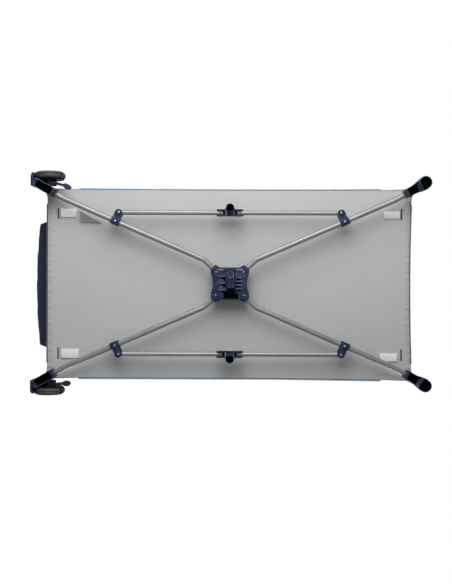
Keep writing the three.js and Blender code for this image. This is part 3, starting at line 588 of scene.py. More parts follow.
def bent_tube(name, route, bends, radius, wall, sides=32):
    """A tube along a flat route of points in mm, with a bend radius at each inner point."""
    points = [Vector(p) * MM for p in route]
    first = (points[1] - points[0]).normalized()
    bpy.ops.object.select_all(action="DESELECT")
    bpy.ops.mesh.primitive_circle_add(
        vertices=sides, radius=radius * MM, location=points[0],
        rotation=first.to_track_quat("Z", "Y").to_euler(),
    )
    obj = settle(bpy.context.object, name)
    edit(obj, "VERT", everything=True)
    here = points[0]
    for i in range(1, len(points)):
        before = (points[i] - points[i - 1]).normalized()
        reach = 0.0
        if i < len(points) - 1:
            after = (points[i + 1] - points[i]).normalized()
            turn = before.angle(after)
            reach = bends[i - 1] * MM * math.tan(turn / 2)
        stop = points[i] - before * reach
        bpy.ops.mesh.extrude_region_move(TRANSFORM_OT_translate={"value": stop - here})
        here = stop
        if reach:
            axis = before.cross(after).normalized()
            centre = stop + axis.cross(before) * bends[i - 1] * MM
            bpy.ops.mesh.spin(steps=max(4, int(math.degrees(turn) / 3)), angle=-turn, center=centre, axis=axis)
            here = points[i] + after * reach
    bpy.ops.mesh.select_all(action="SELECT")
    bpy.ops.mesh.remove_doubles(threshold=0.00001)
    bpy.ops.mesh.normals_make_consistent(inside=False)
    close(obj)
    finish_with(obj, "SOLIDIFY", thickness=wall * MM, offset=-1)
    only(obj)
    bpy.ops.object.shade_smooth_by_angle(angle=math.radians(40))
    return obj


def rivet(name, place, way, radius=4.6, rise=1.5):
    """A domed rivet head: a short cone with its upper rim rounded."""
    start = Vector(place)
    head = rod(name, start - Vector(way) * 1.0, start + Vector(way) * rise, radius, 24, radius * 0.86)
    return soften(head, 0.7, 3, 25)


def directed(name, origin, along, x0, x1, y0, y1, z0, z1, corner=0.0):
    """A block drawn along a direction in the plan, from an origin."""
    side = Vector((-along.y, along.x, 0))
    ring = [origin + along * a + side * b for a, b in ((x0, y0), (x1, y0), (x1, y1), (x0, y1))]
    return plate(name, [(p.x, p.y) for p in ring], z0, z1, corner)

# %% [markdown]
# ## The places that parts share
#
# The frame is laid out once in the rear right corner: the post, the two hinge pins of the
# cross tube, its two bends, and the rivets of the bracket. All four corners follow.

# %% Lay out the frame
POST = Vector((604, 312, 42))
TUBE_Z = 42.0


def plan(angle):
    return Vector((math.cos(math.radians(angle)), math.sin(math.radians(angle)), 0))


HUB_WAY, FOOT_WAY = plan(44.6), plan(29.6)
HUB_PIN = Vector((50.5, 44.5, TUBE_Z))
FOOT_PIN = POST - FOOT_WAY * 36
HUB_BEND = HUB_PIN + HUB_WAY * 42
FOOT_BEND = POST - FOOT_WAY * 97
HINGE_LINE = (FOOT_PIN - HUB_PIN).normalized()
HINGE = Vector((-HINGE_LINE.y, HINGE_LINE.x, 0))
MAIN_WAY = (FOOT_BEND - HUB_BEND).normalized()
MAIN_SIDE = Vector((-MAIN_WAY.y, MAIN_WAY.x, 0))
BRACKET_PIN = HUB_BEND.lerp(FOOT_BEND, 0.637)
SIDE_PIN = BRACKET_PIN + MAIN_SIDE * 29.6
SIDE_Y = SIDE_PIN.y
print("bracket rivet", [round(c, 1) for c in BRACKET_PIN], "side rivet", [round(c, 1) for c in SIDE_PIN])

# %% [markdown]
# ## Cross tubes and side tubes
#
# Each cross tube is one length of 17 mm steel tube, bent near the hub and again near the
# foot. The thinner side tubes run from the bracket to the mid foot. Their ends are pressed
# flat a little where the pins go through, which the rivet plates hide, so round tubes with
# a real wall are enough.

# %% Make the tubes
cross = bent_tube(
    "cross_tube",
    [HUB_PIN - HUB_WAY * 9, HUB_BEND, FOOT_BEND, FOOT_PIN + FOOT_WAY * 10],
    [52, 210], 8.5, 1.3, 36,
)
four_corners(cross, "painted_cross_tube", paint, "tube_{}", "cross_tube_{}")

side = bent_tube("side_tube", [Vector((22, SIDE_Y, TUBE_Z)), Vector((SIDE_PIN.x + 6, SIDE_Y, TUBE_Z))], [], 7.5, 1.3)
four_corners(side, "painted_side_tube", paint, "side_{}", "side_tube_{}")

# %% [markdown]
# ## The navy ends of the cross tubes at the hub
#
# At the hub each tube ends in a moulded knuckle that turns on its pin between two ears.
# From below the four knuckles are the round lobes at the hub's corners, and they hide the
# ends of the tubes. A knuckle is a drum across the pin, so it is round from the side. Then
# it is trimmed to the hub's outline, so that from below it carries on the line of the lower
# plate, which runs in one smooth curve from the waist into the lobe.

# %% Make the knuckles
LOBE = [
    (53, 0), (53.4, 7), (54.2, 12), (55.3, 16.7), (57.1, 22.4), (59, 27.8), (60.1, 32),
    (60.6, 37), (60.2, 41.5), (58.8, 46), (56.2, 49.6), (52.6, 52.3), (48.6, 53.7),
    (44.6, 53.3), (41, 51.6), (38, 50.7),
]


def hub_outline():
    """The outline of the hub from below: one quarter and its three mirror images."""
    left = [(-x, y) for x, y in reversed(LOBE[1:])] + [(-53, 0)]
    upper = LOBE[1:] + left
    return [(53, 0)] + upper + [(x, -y) for x, y in reversed(upper[:-1])]


knuckle = rod("knuckle", HUB_PIN - HINGE * 11.4, HUB_PIN + HINGE * 11.4, 17.5, 64)
trim(knuckle, plate("lobe", hub_outline(), 26.2, 58))
carve(knuckle, rod("tube_room", HUB_PIN - HUB_WAY * 9.6, HUB_PIN + HUB_WAY * 30, 8.6, 36))
soften(knuckle, 1.0, 3)
four_corners(knuckle, "tube_knuckle", navy, "tube_{}")

# %% [markdown]
# ## Brackets
#
# A moulded clip saddles the cross tube and holds the end of the side tube between two
# rounded plates. One rivet goes through each tube. The clip is drawn along the cross tube:
# a saddle, two plates joined to it, a hollow between them, and a raised rim round the
# rivets.

# %% Make the brackets and their rivets
def on_bracket(a, b, z=TUBE_Z):
    p = BRACKET_PIN + MAIN_WAY * a + MAIN_SIDE * b
    return (p.x, p.y, z)


def bracket_outline(points):
    return [on_bracket(a, b)[:2] for a, b in points]


nose = [(12.2 * math.cos(math.radians(t)), 28.6 + 11.4 * math.sin(math.radians(t))) for t in range(0, 181, 15)]
clip = plate(
    "clip", bracket_outline([(12.2, 6), *nose, (-12.2, 6)]), TUBE_Z - 12, TUBE_Z + 12,
)
saddle = plate(
    "saddle", bracket_outline([(-14.6, -12.2), (14.6, -12.2), (14.6, 9.5), (-14.6, 9.5)]),
    TUBE_Z - 12.8, TUBE_Z + 12.8, 2.5,
)
fuse(clip, saddle)
hollow = plate(
    "hollow", bracket_outline([(-20, -9.1), (20, -9.1), (20, 46), (-20, 46)]), TUBE_Z - 9.1, TUBE_Z + 9.1,
)
carve(clip, hollow)
for b in (0, 29.6):
    boss = rod("boss", on_bracket(0, b, TUBE_Z - 14.4), on_bracket(0, b, TUBE_Z - 9.6), 6.4, 28, 7.4)
    fuse(clip, boss)
rib = plate("rib", bracket_outline([(-1.1, 6), (1.1, 6), (1.1, 24), (-1.1, 24)]), TUBE_Z - 13.2, TUBE_Z - 11)
fuse(clip, rib)
soften(clip, 0.7, 2)
four_corners(clip, "moulded_bracket", navy, "tube_{}", "cross_bracket_{}")

for label, b in (("inner", 0), ("outer", 29.6)):
    head = rivet("head", on_bracket(0, b, TUBE_Z - 14.2), (0, 0, -1), 3.6, 1.3)
    four_corners(head, f"bracket_rivet_{label}", steel, "tube_{}")
    head = rivet("head", on_bracket(0, b, TUBE_Z + 11.8), (0, 0, 1), 4.4, 1.3)
    four_corners(head, f"bracket_rivet_top_{label}", steel, "tube_{}")

# %% [markdown]
# ## Mid feet
#
# Under the middle of each long side a moulded foot joins the two side tubes: two flanges
# on a solid core, and beside them a round cup that stands on the floor. Each flange is
# thin where the tubes pass, with a bead along its lower edge and a flat boss at each pin.
# A near-black plate beside the core is painted shade, and a pale strip along it is a painted
# highlight. The cup is open below, and a black shell inside it is painted shade. The foot is
# drawn for the rear and mirrored.

# %% Make the mid feet
MID_IN, MID_OUT = 8.4, 10.4
MID_CUP_Y = SIDE_Y + 13
flange = [
    (-42, -8), (-36, -13), (-18, -15), (18, -15), (36, -13), (42, -8),
    (42, 8), (36, 13), (18, 15), (-18, 15), (-36, 13), (-42, 8),
]

foot = standing("mid_foot", flange, SIDE_Y + MID_IN, SIDE_Y + MID_OUT, TUBE_Z)
fuse(foot, standing("flange", flange, SIDE_Y - MID_OUT, SIDE_Y - MID_IN, TUBE_Z))
for way in (-1, 1):
    inner, outer = sorted((SIDE_Y + way * 6.9, SIDE_Y + way * MID_OUT))
    fuse(foot, block("bead", -37, 37, inner, outer, TUBE_Z - 14.4, TUBE_Z - 11.2, 1.2))
    for x in (-30, 30):
        fuse(foot, rod("boss", (x, SIDE_Y + way * 9.4, TUBE_Z), (x, SIDE_Y + way * 11.4, TUBE_Z), 6.2, 28, 5.8))
fuse(foot, block("core", -12.6, 12.6, SIDE_Y - MID_OUT + 1, SIDE_Y + MID_OUT - 1, TUBE_Z - 14, TUBE_Z + 14.6, 2))
for x in (-15.5, 15.5):
    x0, x1 = sorted((x, x * 0.4))
    fuse(foot, block(
        "web", x0, x1, SIDE_Y + MID_IN - 1, SIDE_Y + MID_OUT + 3.0, TUBE_Z - 13, TUBE_Z - 2, 1.4,
    ))
cup = rod("cup", (0, MID_CUP_Y, 0), (0, MID_CUP_Y, TUBE_Z - 10), 12.9, 40, 13.6)
fuse(foot, cup)
carve(foot, rod("bore", (0, MID_CUP_Y, -2), (0, MID_CUP_Y, 26), 11.7, 40, 10.6))
soften(foot, 0.7, 2)
for end, sy in (("rear", 1), ("front", -1)):
    piece = dress(mirrored(foot, f"moulded_mid_foot_{end}", 1, sy), navy)
    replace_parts(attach(piece, f"mid_{end}"), f"mid_foot_{end}")
    for x in (-30, 30):
        for way in (-1, 1):
            spot = f"{'l' if x < 0 else 'r'}_{'out' if way * sy > 0 else 'in'}"
            place = (x, sy * SIDE_Y + way * 11.3, TUBE_Z)
            head = rivet(f"mid_rivet_{end}_{spot}", place, (0, way, 0), 4.2)
            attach(dress(head, steel), f"mid_{end}")
    # A black shell inside the cup: painted shade.
    painted_shade = turned(
        f"mid_cup_lining_{end}",
        [(10.6, 3), (11.5, 3), (10.7, 25.2), (0, 25.6), (0, 24.4), (9.7, 24)],
        (0, sy * MID_CUP_Y, 0), "Z", 40,
    )
    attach(dress(soften(painted_shade, 0.2, 1), shadow_black), f"mid_{end}")
    # A near-black plate beside the core is painted shade; a pale strip at its inner edge is a painted highlight.
    for side, x0, x1 in (("left", -22.0, -14.0), ("right", 14.0, 22.0)):
        painted_shade_floor = block(
            f"mid_painted_shade_{end}_{side}", x0, x1, sy * SIDE_Y - 8.1, sy * SIDE_Y + 8.1,
            TUBE_Z - 14.2, TUBE_Z - 12.4, 0.5,
        )
        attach(dress(painted_shade_floor, shadow_black), f"mid_{end}")
        edge = min(x0, x1, key=abs)
        rim = block(
            f"mid_highlight_rim_{end}_{side}", edge - 1.2, edge + 0.2, sy * SIDE_Y - 8.6, sy * SIDE_Y + 8.6,
            TUBE_Z - 15.4, TUBE_Z - 13.2, 0.4,
        )
        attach(dress(soften(rim, 0.2, 1), highlight_navy), f"mid_{end}")
bpy.data.objects.remove(foot)
# A small white block on the inner flange of the rear mid foot.
white_block = block("mid_white_block", -5.5, 5.5, SIDE_Y - 15.0, SIDE_Y - 12.6, TUBE_Z - 15.2, TUBE_Z - 8.5, 0.8)
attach(dress(soften(white_block, 0.5, 2), webbing), "mid_rear")
print("mid feet at y", round(SIDE_Y, 1))

# %% [markdown]
# ## Corner feet
#
# Each foot is one moulding: a cup or a socket that takes the post, and a broad arm with a
# fork for the cross tube. From below the arm is a hollow shell. A black tray in the recess
# between its walls and a black shell in the cup are painted shade, and a pale lip and rim
# where the cup opens towards the arm are painted highlights. The arm is drawn along the
# direction of the tube's last run, from the post inwards.

# %% Make the arm of a foot
ARM_TOP, ARM_BOTTOM, FORK_FLOOR = 56.0, 8.0, 28.0


def at_foot(a, b):
    """A point in the plan: a mm inwards from the post along the arm, b mm to its side."""
    p = POST - FOOT_WAY * a + Vector((-FOOT_WAY.y, FOOT_WAY.x, 0)) * b
    return (p.x, p.y)


def foot_plate(name, points, low, high, corner=0.0):
    return plate(name, [at_foot(a, b) for a, b in points], low, high, corner)


def foot_block(name, a0, a1, b0, b1, low, high, corner=0.0):
    return foot_plate(name, [(a0, b0), (a1, b0), (a1, b1), (a0, b1)], low, high, corner)


def both_sides(edge):
    """The outline of a shape along the arm: its edge, and back along the mirrored edge."""
    return [(a, -b) for a, b in edge] + [(a, b) for a, b in reversed(edge)]


WHEEL_ARM = [(-2, 13.5), (14, 13), (40, 13.2), (62, 13.6)]
CUP_ARM = [(-4.8, 19.4), (2, 19.2), (10, 17.6), (15, 16.2), (21, 15.0), (30, 14.0), (44, 13.4), (62, 13.3)]


def inset(edge, start, end, wall):
    """The outline of a hollow that follows the arm's edge at a wall's distance."""
    line = [(a, b - wall) for a, b in edge if start < a < end]
    first = next(b for a, b in edge if a > start) - wall
    line = [(start, first)] + line + [(end, line[-1][1] if line else first)]
    return both_sides(line)


def foot_arm(edge, recess_start):
    """The arm's shell with its recess below, its fork above and the collar at its end."""
    arm = foot_plate("arm", both_sides(edge), ARM_BOTTOM, ARM_TOP)
    recess = foot_plate("recess", inset(edge, recess_start, 54.4, 1.5), ARM_BOTTOM - 4, FORK_FLOOR - 3)
    fork = foot_block("fork", 21.5, 70, -9.3, 9.3, FORK_FLOOR, ARM_TOP + 6)
    carve(arm, recess, fork)
    band = foot_block("band", 54.6, 61.8, -14.2, 14.2, ARM_BOTTOM - 0.8, FORK_FLOOR - 2, 1.5)
    fuse(arm, band)
    for b in (-11.2, 11.2):
        fuse(arm, foot_block("stop", 52, 66.5, b - 1.4, b + 1.4, ARM_BOTTOM + 6, ARM_TOP - 6, 1.0))
    return arm


def slope(edge, a0, a1, z0, z1):
    """A wedge below the arm whose upper face climbs inwards, to be cut away."""
    made = foot_plate("slope", inset(edge, a0, a1, 1.5), ARM_BOTTOM - 5, z0)
    for vertex in made.data.vertices:
        inwards = Vector((POST.x - vertex.co.x / MM, POST.y - vertex.co.y / MM, 0)).dot(FOOT_WAY)
        if vertex.co.z > (ARM_BOTTOM - 4) * MM:
            vertex.co.z = (z0 + (z1 - z0) * (inwards - a0) / (a1 - a0)) * MM
    return made


def tray(name, edge, start, end, low, high, wall=0.6):
    """A black shallow box in a recess, open below: painted shade."""
    made = foot_plate(name, inset(edge, start, end, 1.7), low, high)
    carve(made, foot_plate("inside", inset(edge, start + wall, end - wall, 1.7 + wall), low - 2, high - wall))
    return made


CUP = POST + Vector((3.3, 3.9, 0))
right_foot = foot_arm(CUP_ARM, 24.5)
cup = turned("cup", [(0, 0), (18.0, 0), (19.4, 0.6), (19.8, 2), (19.8, 42), (18.6, 44), (0, 44)], (CUP.x, CUP.y, 0), "Z", 56)
fuse(right_foot, cup, rod("neck", (POST.x, POST.y, 22), (POST.x, POST.y, 78), 15.2, 48, 14.4))
MOUTH = [(-4.8, -16.6), (9.6, -15.6), (9.6, 16.2), (-4.8, 19.4)]
bore = rod("bore", (CUP.x, CUP.y, -2), (CUP.x, CUP.y, 18.6), 18.0, 56, 17.2)
fuse(bore, foot_plate("strip", MOUTH, -2, 18.6))
carve(bore, foot_block("beyond", 9.6, 40, -30, 30, -6, 30))
carve(right_foot, bore, slope(CUP_ARM, 11.4, 24.6, ARM_BOTTOM + 1.2, ARM_BOTTOM + 9))
carve(right_foot, rod("post_room", (POST.x, POST.y, 22), (POST.x, POST.y, 90), 11.4, 48))
pin = rod("pin", FOOT_PIN - HINGE * 12.4, FOOT_PIN + HINGE * 12.4, 3, 24)
fuse(right_foot, pin)
soften(right_foot, 0.7, 2)
RIGHT = {c: s for c, s in CORNERS.items() if s[0] > 0}
LEFT = {c: s for c, s in CORNERS.items() if s[0] < 0}
four_corners(right_foot, "moulded_foot", navy, "corner_{}", "corner_foot_{}", RIGHT)

# A black shell inside the cup and its mouth: painted shade.
painted_shade = rod("painted_shade", (CUP.x, CUP.y, 5), (CUP.x, CUP.y, 18.4), 17.7, 48, 17.1)
fuse(painted_shade, foot_plate("strip", [(-4.8, -16.3), (9.6, -15.3), (9.6, 15.9), (-4.8, 19.1)], 5, 18.4))
carve(painted_shade, foot_plate("strip_room", [(-4.8, -15.6), (8.8, -14.6), (8.8, 15.2), (-4.8, 18.4)], 2, 17.8))
carve(painted_shade, rod("inside", (CUP.x, CUP.y, 2), (CUP.x, CUP.y, 17.8), 17.2, 48, 16.5))
carve(painted_shade, foot_block("beyond", 9.4, 40, -30, 30, -6, 30))
four_corners(painted_shade, "cup_painted_shade", shadow_black, "corner_{}", keep=RIGHT)
# A pale strip where the cup opens to the arm, and a pale ring round the cup's rim: painted highlights.
lip = foot_block("lip", 9.5, 11.7, -16.6, 16.6, ARM_BOTTOM - 1.0, ARM_BOTTOM + 1.6)
four_corners(soften(lip, 0.4, 2), "cup_highlight_lip", highlight_navy, "corner_{}", keep=RIGHT)
rim = turned("rim", [(18.3, 0.0), (19.5, 0.0), (19.9, 0.5), (19.6, 1.6), (18.3, 1.6)], (CUP.x, CUP.y, 0), "Z", 56)
carve(rim, foot_block("arm_side", -1, 40, -30, 30, -6, 30))
four_corners(rim, "cup_highlight_rim", highlight_navy, "corner_{}", keep=RIGHT)
# Black trays in the recesses of the arms, for both kinds of foot: painted shade.
four_corners(tray("shade", CUP_ARM, 24.8, 54.2, 9.6, 24.8), "arm_painted_shade", shadow_black, "corner_{}", keep=RIGHT)
inner = [(1.2, 7.4), (3.4, 9.6), (7.2, 10.5), (14, 10.5), (40, 10.7), (53.8, 10.9)]
shade = foot_plate("shade", both_sides(inner), 9.4, 18.7)
narrower = [(a + 0.5, b - 0.7) for a, b in inner[:-1]] + [(53.1, 10.2)]
carve(shade, foot_plate("inside", both_sides(narrower), 6, 18.0))
four_corners(shade, "arm_painted_shade", shadow_black, "corner_{}", keep=LEFT)

# %% [markdown]
# ## The feet with wheels
#
# At the wheel end a curved black fender stands over the wheel. Its ends are rounded in the
# plan, and a rim thickens its open side. The arm carries a boss for the axle, and a web
# over the axle reaches to the fender. A black sheet under the web is painted shade, and a
# pale lip along the arm is a painted highlight.

# %% Make the feet with wheels
WHEEL = Vector((567, 339, 43.5))
FENDER_IN, FENDER_OUT = 324.3, 350.0
FENDER_RADIUS, FENDER_WALL, SKIRT = 46.3, 1.8, 24.0


def arc_points(radius, low, steps=26):
    """An arch over the wheel in x and z, down to a height on each side."""
    dip = math.asin((low - WHEEL.z) / radius)
    return [
        (WHEEL.x + radius * math.cos(t), WHEEL.z + radius * math.sin(t))
        for t in (dip + (math.pi - 2 * dip) * i / steps for i in range(steps + 1))
    ]


left_foot = foot_arm(WHEEL_ARM, 24.5)
socket = rod("socket", (POST.x, POST.y, ARM_BOTTOM), (POST.x, POST.y, 78), 14.4, 48, 13.6)
HOLLOW = [(0.5, 8.0), (3.0, 10.2), (7, 11.0), (14, 11.0), (40, 11.2), (54.2, 11.4)]
hollow = foot_plate("hollow", both_sides(HOLLOW), 2, 19)
fuse(left_foot, socket)
carve(left_foot, hollow, rod("dimple", (*at_foot(-5, 0), 2), (*at_foot(-5, 0), 10), 5.4, 28))
fender = standing("fender", arc_points(FENDER_RADIUS, SKIRT), FENDER_IN, FENDER_OUT)
nose = (534, (FENDER_IN + FENDER_OUT) / 2 + 0.2)
fuse(fender, rod("nose", (*nose, SKIRT - 2), (*nose, 64), 13.2, 40))
carve(fender, standing(
    "wheel_room", arc_points(FENDER_RADIUS - FENDER_WALL, SKIRT - 4),
    FENDER_IN + FENDER_WALL, FENDER_OUT + 4,
))
rim = standing("rim", arc_points(FENDER_RADIUS + 0.9, SKIRT), FENDER_OUT - 3, FENDER_OUT + 0.5)
carve(rim, standing("rim_room", arc_points(FENDER_RADIUS - 1.0, SKIRT - 4), FENDER_OUT - 6, FENDER_OUT + 6))
fuse(fender, rim)
for middle, x0, x1 in ((534, 505, 534), (600, 600, 629)):
    corners = block("corners", x0, x1, 316, 358, SKIRT - 8, 100)
    carve(corners, rod("keep", (middle, nose[1], SKIRT - 12), (middle, nose[1], 110), 13.2, 40))
    carve(fender, corners)
web_in = 308.5
fuse(
    left_foot,
    block("web_top", 548, 618.2, web_in - 3, FENDER_IN + 1, 54, 58),
    plate("web_end", [(613.8, 303), (621.6, 303), (621.6, 333), (620.6, 338.6), (618, 343), (613.8, 346.4)], 13, 60, 1.5),
    block("web_join", 602, 618, 308, FENDER_IN + 0.5, 40, 58),
    rod("boss", (WHEEL.x, 307, WHEEL.z), (WHEEL.x, 313, WHEEL.z), 9, 36),
)
carve(
    left_foot,
    rod("post_room", (POST.x, POST.y, 22), (POST.x, POST.y, 90), 11.4, 48),
    foot_block("fork", 21.5, 70, -9.3, 9.3, FORK_FLOOR, ARM_TOP + 6),
    rod("axle_room", (WHEEL.x, 303, WHEEL.z), (WHEEL.x, 330, WHEEL.z), 4.3, 24),
)
fuse(left_foot, rod("pin", FOOT_PIN - HINGE * 12.4, FOOT_PIN + HINGE * 12.4, 3, 24))
soften(left_foot, 0.7, 2)
four_corners(left_foot, "moulded_wheel_foot", navy, "corner_{}", "corner_foot_{}", LEFT)
soften(fender, 1.2, 3)
four_corners(fender, "wheel_fender", black, "corner_{}", "corner_foot_{}", LEFT)
# A pale lip along the arm: painted highlight.
foot_highlight_lip = foot_plate(
    "foot_highlight_lip", [(-9, 9.6), (-2, 12.6), (46, 12.4), (46, 13.3), (-3, 13.6), (-10.4, 9.8)],
    ARM_BOTTOM - 0.9, ARM_BOTTOM + 1.4,
)
four_corners(soften(foot_highlight_lip, 0.3, 2), "wheel_foot_lip", highlight_navy, "corner_{}", keep=LEFT)
# A black sheet under the web over the wheel: painted shade.
web_painted_shade = block("web_painted_shade", 549, 612.6, 313.6, FENDER_IN - 0.3, 52.8, 53.8)
four_corners(soften(web_painted_shade, 0.2, 1), "web_painted_shade", shadow_black, "corner_{}", keep=LEFT)

# %% [markdown]
# ## Wheels, axles and brake levers
#
# A tyre is a ring with round shoulders and a shallow groove. It is pressed on a core with
# five spokes. The profile of each is spun round the axle. The lever sits on the same axle
# and ends in a thumb paddle that points inwards.

# %% Make the wheels
def shoulder(radius, half, round_off, inner, groove=0.0):
    """Half-round tyre profile of (radius, height) pairs."""
    ring = [(inner, -half)]
    for t in range(0, 91, 15):
        a = math.radians(t)
        ring.append((radius - round_off + round_off * math.sin(a), -half + round_off - round_off * math.cos(a)))
    ring += [(radius, -1.2), (radius - groove, -0.5), (radius - groove, 0.5), (radius, 1.2)]
    ring += [(r, -h) for r, h in reversed(ring[1:8])]
    return ring + [(inner, half)]


tyre = turned("tyre", shoulder(43.5, 11, 7.5, 34.5, 0.7), WHEEL, "Y", 72)
soften(tyre, 0.3, 1, 50)
four_corners(tyre, "rubber_tyre", rubber, "wheel_{}", "tyre_{}", LEFT)

core = turned(
    "core",
    [
        (4.3, -11), (9, -11), (10, -10), (10, -2.5), (29, -2.5), (29.5, -10), (34.2, -10.6),
        (34.2, 10.6), (29.5, 10), (29, 2.5), (10, 2.5), (10, 10), (9, 11), (4.3, 11),
    ],
    WHEEL, "Y", 60,
)
for i in range(5):
    a = math.radians(72 * i + 18)
    way = Vector((math.cos(a), 0, math.sin(a)))
    spoke = rod("spoke", WHEEL + way * 8, WHEEL + way * 31, 3.2, 16)
    spoke.data.transform(Matrix.Translation(WHEEL * MM) @ Matrix.Diagonal((1, 2.6, 1, 1)) @ Matrix.Translation(-WHEEL * MM))
    fuse(core, spoke)
soften(core, 0.5, 2)
four_corners(core, "wheel_centre", black, "wheel_{}", "wheel_core_{}", LEFT)

axle = rod("axle", (WHEEL.x, 307.3, WHEEL.z), (WHEEL.x, 352.2, WHEEL.z), 4.0, 28)
fuse(axle, rod("cap", (WHEEL.x, 350.8, WHEEL.z), (WHEEL.x, 352.4, WHEEL.z), 5.6, 28, 4.6))
soften(axle, 0.4, 2)
four_corners(axle, "steel_axle", steel, "corner_{}", "axle_{}", LEFT)

lever = rod("lever", (WHEEL.x, 313.4, WHEEL.z), (WHEEL.x, 323.8, WHEEL.z), 10, 36)
fuse(
    lever, plate("neck", [(518, 310.4), (567, 314.4), (567, 322.8), (518, 319.0)], 32.4, 38.6),
    plate("neck_rib", [(528, 313.6), (560, 317.0), (560, 319.4), (528, 316.0)], 30.6, 41.5),
)
THUMB = [(511.6 + 13.6 * math.cos(t), 314.8 + 8.9 * math.sin(t)) for t in (2 * math.pi * i / 36 for i in range(36))]
fuse(lever, plate("paddle", THUMB, 32.2, 38.8))
carve(lever, rod("axle_room", (WHEEL.x, 310, WHEEL.z), (WHEEL.x, 328, WHEEL.z), 4.3, 24))
carve(lever, plate("thumb_dish", [(511.6 + (x - 511.6) * 0.7, 314.8 + (y - 314.8) * 0.6) for x, y in THUMB], 37.4, 42))
soften(lever, 0.9, 3)
levers = four_corners(lever, "brake_lever_moulded", navy, "brake_{}", "brake_lever_{}", LEFT)
for vertex in levers["front_left"].data.vertices:
    vertex.co.y += max(0.0, vertex.co.x + 0.552) * 0.30

# %% [markdown]
# ## The hub
#
# The hub is two mouldings. The upper one is a box with a forked corner for each tube. The
# lower one is a plate with waisted ends, shallow ribs that stiffen it, and a deep channel
# down its middle, in which the lock lever moves. Its four rivets shine. Walls that stand
# round dark recesses are made as real recesses, and black sheets inside add painted shade.

# %% Make the upper part of the hub
hub = block("hub", -50, 50, -50, 50, 31, 86, 12)
crown = block("crown", -46, 46, -46, 46, 84, 88, 10)
fuse(hub, crown)
FORK_HALF, EAR = 12.1, 2.5
KNUCKLE_ROOM = 18.1


def at_lobe(name, sx, sy, a0, a1, half, z0, z1, corner=0.0):
    """A block along the hinge line of one corner, from its pin."""
    way = Vector((sx * HINGE_LINE.x, sy * HINGE_LINE.y, 0))
    pin_at = Vector((sx * HUB_PIN.x, sy * HUB_PIN.y, 0))
    return directed(name, pin_at, way, a0, a1, -half, half, z0, z1, corner)


for sx, sy in CORNERS.values():
    fuse(hub, at_lobe("ear", sx, sy, -30, 3.8, FORK_HALF + EAR, 33.5, 77, 2.6))
for sx, sy in CORNERS.values():
    carve(hub, at_lobe("fork", sx, sy, -KNUCKLE_ROOM, 14, FORK_HALF, 24, TUBE_Z + KNUCKLE_ROOM))
carve(
    hub, block("channel", -13, 21, -46, 46, 24, 62),
    rod("stem_room", (3, -1.5, 58), (3, -1.5, 92), 5.4, 28),
    block("strap_room", -3.6, 9.6, -35.3, -31.0, 58, 92),
)
soften(hub, 1.2, 3)
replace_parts(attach(dress(hub, navy), "hub"), "hub_cover")
hub.name = "hub_upper_moulding"
for corner, (sx, sy) in CORNERS.items():
    across = Vector((sx * HINGE.x, sy * HINGE.y, 0))
    pin_at = Vector((sx * HUB_PIN.x, sy * HUB_PIN.y, TUBE_Z))
    for end in (-1, 1):
        head = rivet(f"hub_pin_{corner}_{'a' if end < 0 else 'b'}", pin_at + across * end * 14.5, across * end, 4.4, 1.0)
        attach(dress(head, steel), "hub")

# %% [markdown]
# ### The lower plate
#
# The plate has the hub's outline too. Its corners are cut square to the pins, and a drum
# round each pin is cut out of it for the knuckle to turn in, which leaves a hair seam
# round each lobe. The pockets between its ribs are open to black sheets of painted shade,
# and each is deepest beside the channel, so it looks like a black wedge under a rib. Pale
# strips on the ribs and beads along the front edge are painted highlights.

# %% Make the lower plate of the hub
base_plate = plate("base_plate", hub_outline(), 26, 30.7)
for sx, sy in CORNERS.values():
    across = Vector((sx * HINGE.x, sy * HINGE.y, 0))
    pin_at = Vector((sx * HUB_PIN.x, sy * HUB_PIN.y, TUBE_Z))
    carve(
        base_plate,
        rod("knuckle_room", pin_at - across * FORK_HALF, pin_at + across * FORK_HALF, KNUCKLE_ROOM, 64),
        at_lobe("corner_room", sx, sy, -8.6, 30, FORK_HALF, 22, 34),
    )
LEFT_RIBS = (-21.4, 0.0, 21.4)
RIGHT_RIBS = (-17.6, -5.9, 5.9, 17.6)
carve(base_plate, block("window", -9.4, 15.4, -42, 42, 20, 34, 2))
LEFT_WEDGE = [(-37, 1.0), (-14.8, 1.0), (-14.8, 14.5), (-17.0, 14.0), (-22.5, 6.5), (-30, 4.2)]
RIGHT_WEDGE = [(19.4, 0.8), (41, 0.8), (33, 5.2), (27, 7.6), (19.4, 8.0)]
for wedge, ribs in ((LEFT_WEDGE, LEFT_RIBS), (RIGHT_WEDGE, RIGHT_RIBS)):
    for y in ribs:
        carve(base_plate, plate("wedge", [(x, y + beside) for x, beside in wedge], 22, 33, 0.6))
carve(base_plate, plate(
    "arch", [(-9.0, 15), (15.0, 15), (19, 22), (25, 34), (28, 49), (-22, 49), (-19, 34), (-13, 22)],
    22, 29.0, 1.5,
))
for x0, x1, ribs in ((-37.5, -13.5, LEFT_RIBS), (18.5, 41.5, RIGHT_RIBS)):
    for y in ribs:
        fuse(base_plate, block("rib", x0, x1, y - 0.9, y + 0.9, 20.8, 29.4))
for x, y0, y1 in ((-12.2, -30, 20), (18.2, -26, 34)):
    fuse(base_plate, block("channel_wall", x - 1.1, x + 1.1, y0, y1, 22.5, 30, 0.8))
soften(base_plate, 0.5, 2)
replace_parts(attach(dress(base_plate, navy), "hub"), "hub_plate")
base_plate.name = "hub_lower_plate"
# Black sheets inside the hub's pockets and arch: painted shade.
for label, x0, x1, y0, y1, z0, z1 in (
    ("left", -38, -13.6, -24, 38, 29.6, 30.4), ("right", 19.6, 42, -20, 28, 29.6, 30.4), ("arch", -20, 26, 24, 48, 28.4, 29.3),
):
    inside = block(f"hub_inside_{label}", x0, x1, y0, y1, z0, z1)
    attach(dress(soften(inside, 0.2, 1), shadow_black), "hub")
